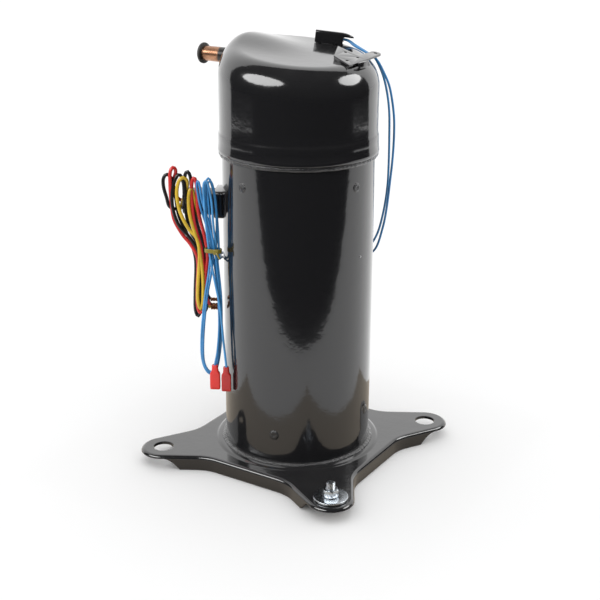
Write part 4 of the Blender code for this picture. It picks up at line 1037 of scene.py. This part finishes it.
# ------------------------------------------------------------------ thermostat cover and harness bracket
def make_cover():
    w, h, t, half = 0.0072, 0.0086, 0.0011, 0.0130
    skirt = -0.0026
    ro, ri = 0.0022, 0.0012
    pts = []

    def arc(cx, cy, r, a0, a1, n=6):
        return [(cx + r * math.cos(math.radians(a0 + (a1 - a0) * k / n)), cy + r * math.sin(math.radians(a0 + (a1 - a0) * k / n))) for k in range(n + 1)]
    pts += [(w, 0)] + arc(w - ro, h - ro, ro, 0, 90) + arc(-w + ro, h - ro, ro, 90, 180) + [(-w, skirt), (-w + t, skirt)]
    pts += arc(-w + t + ri, h - t - ri, ri, 180, 90) + arc(w - t - ri, h - t - ri, ri, 90, 0) + [(w - t, 0)]
    rot = Matrix(((0, 0, 1, 0), (1, 0, 0, 0), (0, 1, 0, 0), (0, 0, 0, 1)))
    ob = outline("thermostat_clip", pts, half, 0.00018, COVER @ rot, res=2)
    finish_mesh(ob, paint, replaces=["thermostat_cover"], sharp=32)
    # hood over the wires: the channel narrows and bends down past its end
    bm = bmesh.new()
    rings = []
    stations = [(12.6, 7.2, 8.6, 3.6), (14.5, 7.1, 8.5, 4.6), (17.0, 6.6, 8.0, 4.6), (19.0, 5.9, 7.3, 4.5), (20.8, 4.8, 6.6, 4.5), (22.0, 3.3, 5.9, 4.5), (22.5, 1.6, 5.5, 4.5)]
    for x, hw, top, low in stations:
        outer, inner = [], []
        for k in range(25):
            a = math.pi * k / 24
            e = 0.42
            yy = math.copysign(abs(math.cos(a)) ** e, math.cos(a))
            zz = abs(math.sin(a)) ** e
            outer.append((hw * yy, low + (top - low) * zz))
            inner.append(((hw - 0.9 * min(1, hw / 2)) * yy, low + (top - low - 0.75 * min(1, (top - low) / 1.5)) * zz))
        ring = outer + inner[::-1]
        rings.append([bm.verts.new(COVER @ Vector((x * MM, y * MM, zc * MM))) for y, zc in ring])
    for a, b in zip(rings, rings[1:]):
        for q in range(len(a)):
            bm.faces.new((a[q], a[(q + 1) % len(a)], b[(q + 1) % len(a)], b[q]))
    for rg in (rings[0], rings[-1]):
        for q in range(24):
            bm.faces.new((rg[q], rg[q + 1], rg[48 - q], rg[49 - q]))
    bmesh.ops.recalc_face_normals(bm, faces=bm.faces)
    hood_me = bpy.data.meshes.new("thermostat_clip_hood")
    bm.to_mesh(hood_me)
    bm.free()
    finish_mesh(link("thermostat_clip_hood", hood_me), paint, sharp=40)
    body = lathe("thermostat_can", fillet([(0, 5.6), (4.4, 5.6), (5.0, 5.0), (5.0, 2.2), (5.7, 2.0), (5.7, 0.4), (0, 0.4)], [0, 0.4, 0.4, 0.2, 0.3, 0.2, 0], 3), 56, COVER @ Matrix.Translation((-0.002, 0, 0)))
    finish_mesh(body, metal("thermostat_steel", (0.5, 0.5, 0.5), 0.3, 160).mat, replaces=["discharge_thermostat"])


make_cover()


def bracket_plane(x, y):
    return 0.4023 - 0.22 * x + 0.05 * (y + 0.004)


def make_bracket():
    z_dir = Vector((0.22, -0.05, 1))
    mt = frame_at((0.046, 0.006, bracket_plane(0.046, 0.006)), (1, 0, 0), z_dir)
    inv = mt.inverted()

    def flat(x, y):
        p = inv @ Vector((x, y, bracket_plane(x, y)))
        return (p.x, p.y)
    pts = [(0.0387, -0.0043), (0.0599, -0.0142), (0.0609, -0.0100), (0.0612, 0.014), (0.0612, 0.0400)]
    for i in range(1, 16):
        a = math.pi * i / 16
        pts.append((0.0564 + 0.0048 * math.cos(a), 0.0400 + 0.0048 * math.sin(a)))
    pts += [(0.0516, 0.0400), (0.0513, 0.0300), (0.0505, 0.0215), (0.0496, 0.0200), (0.0480, 0.0190), (0.0258, 0.0243)]
    area = sum(pts[i][0] * pts[(i + 1) % len(pts)][1] - pts[(i + 1) % len(pts)][0] * pts[i][1] for i in range(len(pts)))
    if area < 0:
        pts.reverse()
    holes = []
    for x, y in [(0.0395, 0.0145), (0.0525, -0.0050), (0.0535, 0.0120), (0.0564, 0.0395)]:
        fx, fy = flat(x, y)
        holes.append(list(reversed(circle(fx, fy, 0.0014 if y < 0.03 else 0.0017, 28))))
    ob = outline("harness_bracket", [flat(*p) for p in pts], 0.0008, 0.00025, mt, holes, res=3)
    finish_mesh(ob, paint, replaces=["bracket_plate"], sharp=32)
    # bent lip along the front edge, and the standing leg
    a, b = Vector((0.0392, -0.0045, bracket_plane(0.0392, -0.0045))), Vector((0.0597, -0.0140, bracket_plane(0.0597, -0.0140)))
    mid = (a + b) / 2
    fr = frame_at(mid - Vector((0, 0, 0.0012)), b - a, z_dir)
    lip = rounded_box("harness_bracket_lip", ((b - a).length, 0.0012, 0.0026), 0.00035, fr, 3)
    finish_mesh(lip, paint, sharp=32)
    x0, x1, y0, y1 = 0.0627, 0.0653, -0.0040, 0.0100
    low = max(cap_height(x, y) for x in (x0, x1) for y in (y0, 0, 0.003, y1)) - 0.0006
    leg = rounded_box("harness_bracket_leg", (x1 - x0, y1 - y0, 0.3905 - low), 0.0006, Matrix.Translation(((x0 + x1) / 2, (y0 + y1) / 2, (low + 0.3905) / 2)), 3)
    finish_mesh(leg, paint, replaces=["bracket_leg"], sharp=32)


make_bracket()

# ------------------------------------------------------------------ inside pieces keep their solids
steel_mat = metal("machined_steel", (0.50, 0.50, 0.51), 0.30, 90, grain=(1, 1, 14)).mat
iron_mat = metal("cast_iron", (0.20, 0.20, 0.205), 0.48, 70, dark=0.6, bump=0.3).mat
bronze_mat = metal("bearing_bronze", (0.50, 0.33, 0.14), 0.34, 110).mat
alu_mat = metal("cast_aluminium", (0.62, 0.63, 0.65), 0.38, 110, bump=0.2).mat


def lamination():
    n = metal("laminations", (0.30, 0.31, 0.33), 0.36, 60)
    n.bump(n.wave(320, 0.2, "Z"), 0.5, 0.0006)
    return n.mat


def winding():
    n = Nodes("copper_winding", (0.40, 0.12, 0.04), 0.32, metal=0.75, coat=0.4, coat_rough=0.2)
    w = n.wave(160, 3.0, "DIAGONAL")
    n.set("Base Color", n.mix(w, (0.46, 0.15, 0.05), (0.20, 0.05, 0.015)))
    n.bump(w, 0.8, 0.0012)
    return n.mat


lam_mat, wind_mat = lamination(), winding()
KEEP = {
    "steel": (["hermetic_terminal", "muffler_plate", "valve_guide", "crankshaft", "oil_pickup", "scroll_bolt_1", "scroll_bolt_2", "scroll_bolt_3", "scroll_bolt_4",
               "floating_seal", "check_valve_disc", "lower_bearing_bracket", "thrust_washer", "suction_baffle"], steel_mat),
    "iron": (["main_bearing_housing", "orbiting_scroll", "non_orbiting_scroll"], iron_mat),
    "bronze": (["main_bearing_bush", "drive_bush", "lower_bearing_bush", "upper_counterweight", "lower_counterweight", "relief_valve"], bronze_mat),
    "aluminium": (["oldham_ring", "rotor_ring_upper", "rotor_ring_lower"], alu_mat),
    "lamination": (["stator_core", "rotor_core"], lam_mat),
    "winding": (["winding_upper", "winding_lower"], wind_mat),
    "plug_plastic": (["internal_leads", "motor_protector"], moulded("inner_plastic", (0.03, 0.03, 0.032), 0.45)),
    "magnet": (["sump_magnet"], metal("ferrite", (0.07, 0.07, 0.075), 0.5, 140).mat),
}
for names, mt in KEEP.values():
    for nm in names:
        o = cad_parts[nm]
        o.data.materials.clear()
        o.data.materials.append(mt)

# ------------------------------------------------------------------ floor, light
floor_me = bpy.data.meshes.new("floor")
floor_me.from_pydata([(-60, -60, -0.0002), (60, -60, -0.0002), (60, 60, -0.0002), (-60, 60, -0.0002)], [], [(0, 1, 2, 3)])
floor = link("floor", floor_me)
fm = Nodes("floor_pale", (0.95, 0.95, 0.95), 0.6, spec=0.1)
fm.set("Base Color", fm.mix(fm.noise(3, 2), (0.955, 0.955, 0.955), (0.94, 0.94, 0.94)))
floor.data.materials.append(fm.mat)


def black_card(name, me, rgb=(0.0005, 0.0005, 0.0005)):
    """Card seen only in reflections."""
    ob = link(name, me)
    me.materials.append(Nodes(name + "_tone", rgb, 1.0, spec=0.0).mat)
    ob.visible_camera = False
    ob.visible_diffuse = False
    ob.visible_shadow = False
    ob.visible_transmission = False
    return ob


def card(name, corners):
    me = bpy.data.meshes.new(name)
    me.from_pydata(corners, [], [(0, 1, 2, 3)])
    return black_card(name, me)


EDGE_N = Vector((0.628, -0.778, 0)).normalized()
EDGE_T = Vector((0.778, 0.628, 0)).normalized()


def at(n, t, z):
    p = EDGE_N * n + EDGE_T * t
    return (p.x, p.y, z)


SECTOR = (-168.0, 58.0)      # the side of the room that is dark, seen from the object


def ring_card(name, loops, sector=SECTOR):
    """Open black band between two or more rings over the dark sector; each loop is (radius, height)."""
    verts, faces, n = [], [], 48
    for r, z in loops:
        for i in range(n + 1):
            a = math.radians(sector[0] + (sector[1] - sector[0]) * i / n)
            verts.append((r * math.cos(a), r * math.sin(a), z))
    for k in range(len(loops) - 1):
        for i in range(n):
            a = k * (n + 1) + i
            faces.append((a, a + 1, a + n + 2, a + n + 1))
    me = bpy.data.meshes.new(name)
    me.from_pydata(verts, [], faces)
    return black_card(name, me)


card("card_floor", [at(0.395, -1.7, 0.0015), at(2.6, -1.7, 0.0015), at(2.6, 1.7, 0.0015), at(0.395, 1.7, 0.0015)])
ring_card("card_room", [(1.62, 0.001), (2.7, 0.001), (2.8, 3.4), (0.0, 3.6)])
card("card_top", [at(0.2, -2.6, 3.5), at(0.2, 2.6, 3.5), at(-1.3, 2.6, 3.5), at(-1.3, -2.6, 3.5)])

# dull card under the feet, also only for reflections: low gloss surfaces look down on a mid tone
board = bpy.data.meshes.new("card_low")
board.from_pydata([(-0.20, -0.20, 0.0003), (0.20, -0.20, 0.0003), (0.20, 0.20, 0.0003), (-0.20, 0.20, 0.0003)], [], [(0, 1, 2, 3)])
black_card("card_low", board, (0.34, 0.30, 0.25))


FLOOR_OUT = bpy.data.collections.new("floor_out")      # the softboxes light the object and leave the floor even
FLOOR_OUT.objects.link(floor)
FLOOR_OUT.collection_objects[0].light_linking.link_state = "EXCLUDE"


def softbox(name, az, el, dist, sx, sy, power, aim=(0, 0, 0.36), roll=0):
    li = bpy.data.lights.new(name, "AREA")
    li.shape = "ELLIPSE"
    li.size, li.size_y = sx, sy
    li.energy = power
    ob = bpy.data.objects.new(name, li)
    bpy.context.scene.collection.objects.link(ob)
    a, e = math.radians(az), math.radians(el)
    d = Vector((math.cos(a) * math.cos(e), math.sin(a) * math.cos(e), math.sin(e)))
    ob.location = Vector(aim) + d * dist
    ob.rotation_mode = "QUATERNION"
    ob.rotation_quaternion = (-d).to_track_quat("-Z", "Y") @ Quaternion((0, 0, 1), math.radians(roll))
    ob.light_linking.receiver_collection = FLOOR_OUT
    return ob


softbox("softbox_left", -113, 33, 1.9, 2.10, 0.95, 35, roll=14)
softbox("softbox_right", 35, 34, 1.9, 1.25, 0.90, 18)

bpy.context.scene.view_settings.view_transform = "Standard"
world = bpy.data.worlds.new("studio")
bpy.context.scene.world = world
world.use_nodes = True
bg = world.node_tree.nodes["Background"]
bg.inputs["Color"].default_value = (1.0, 1.0, 1.0, 1)
bg.inputs["Strength"].default_value = 1.14
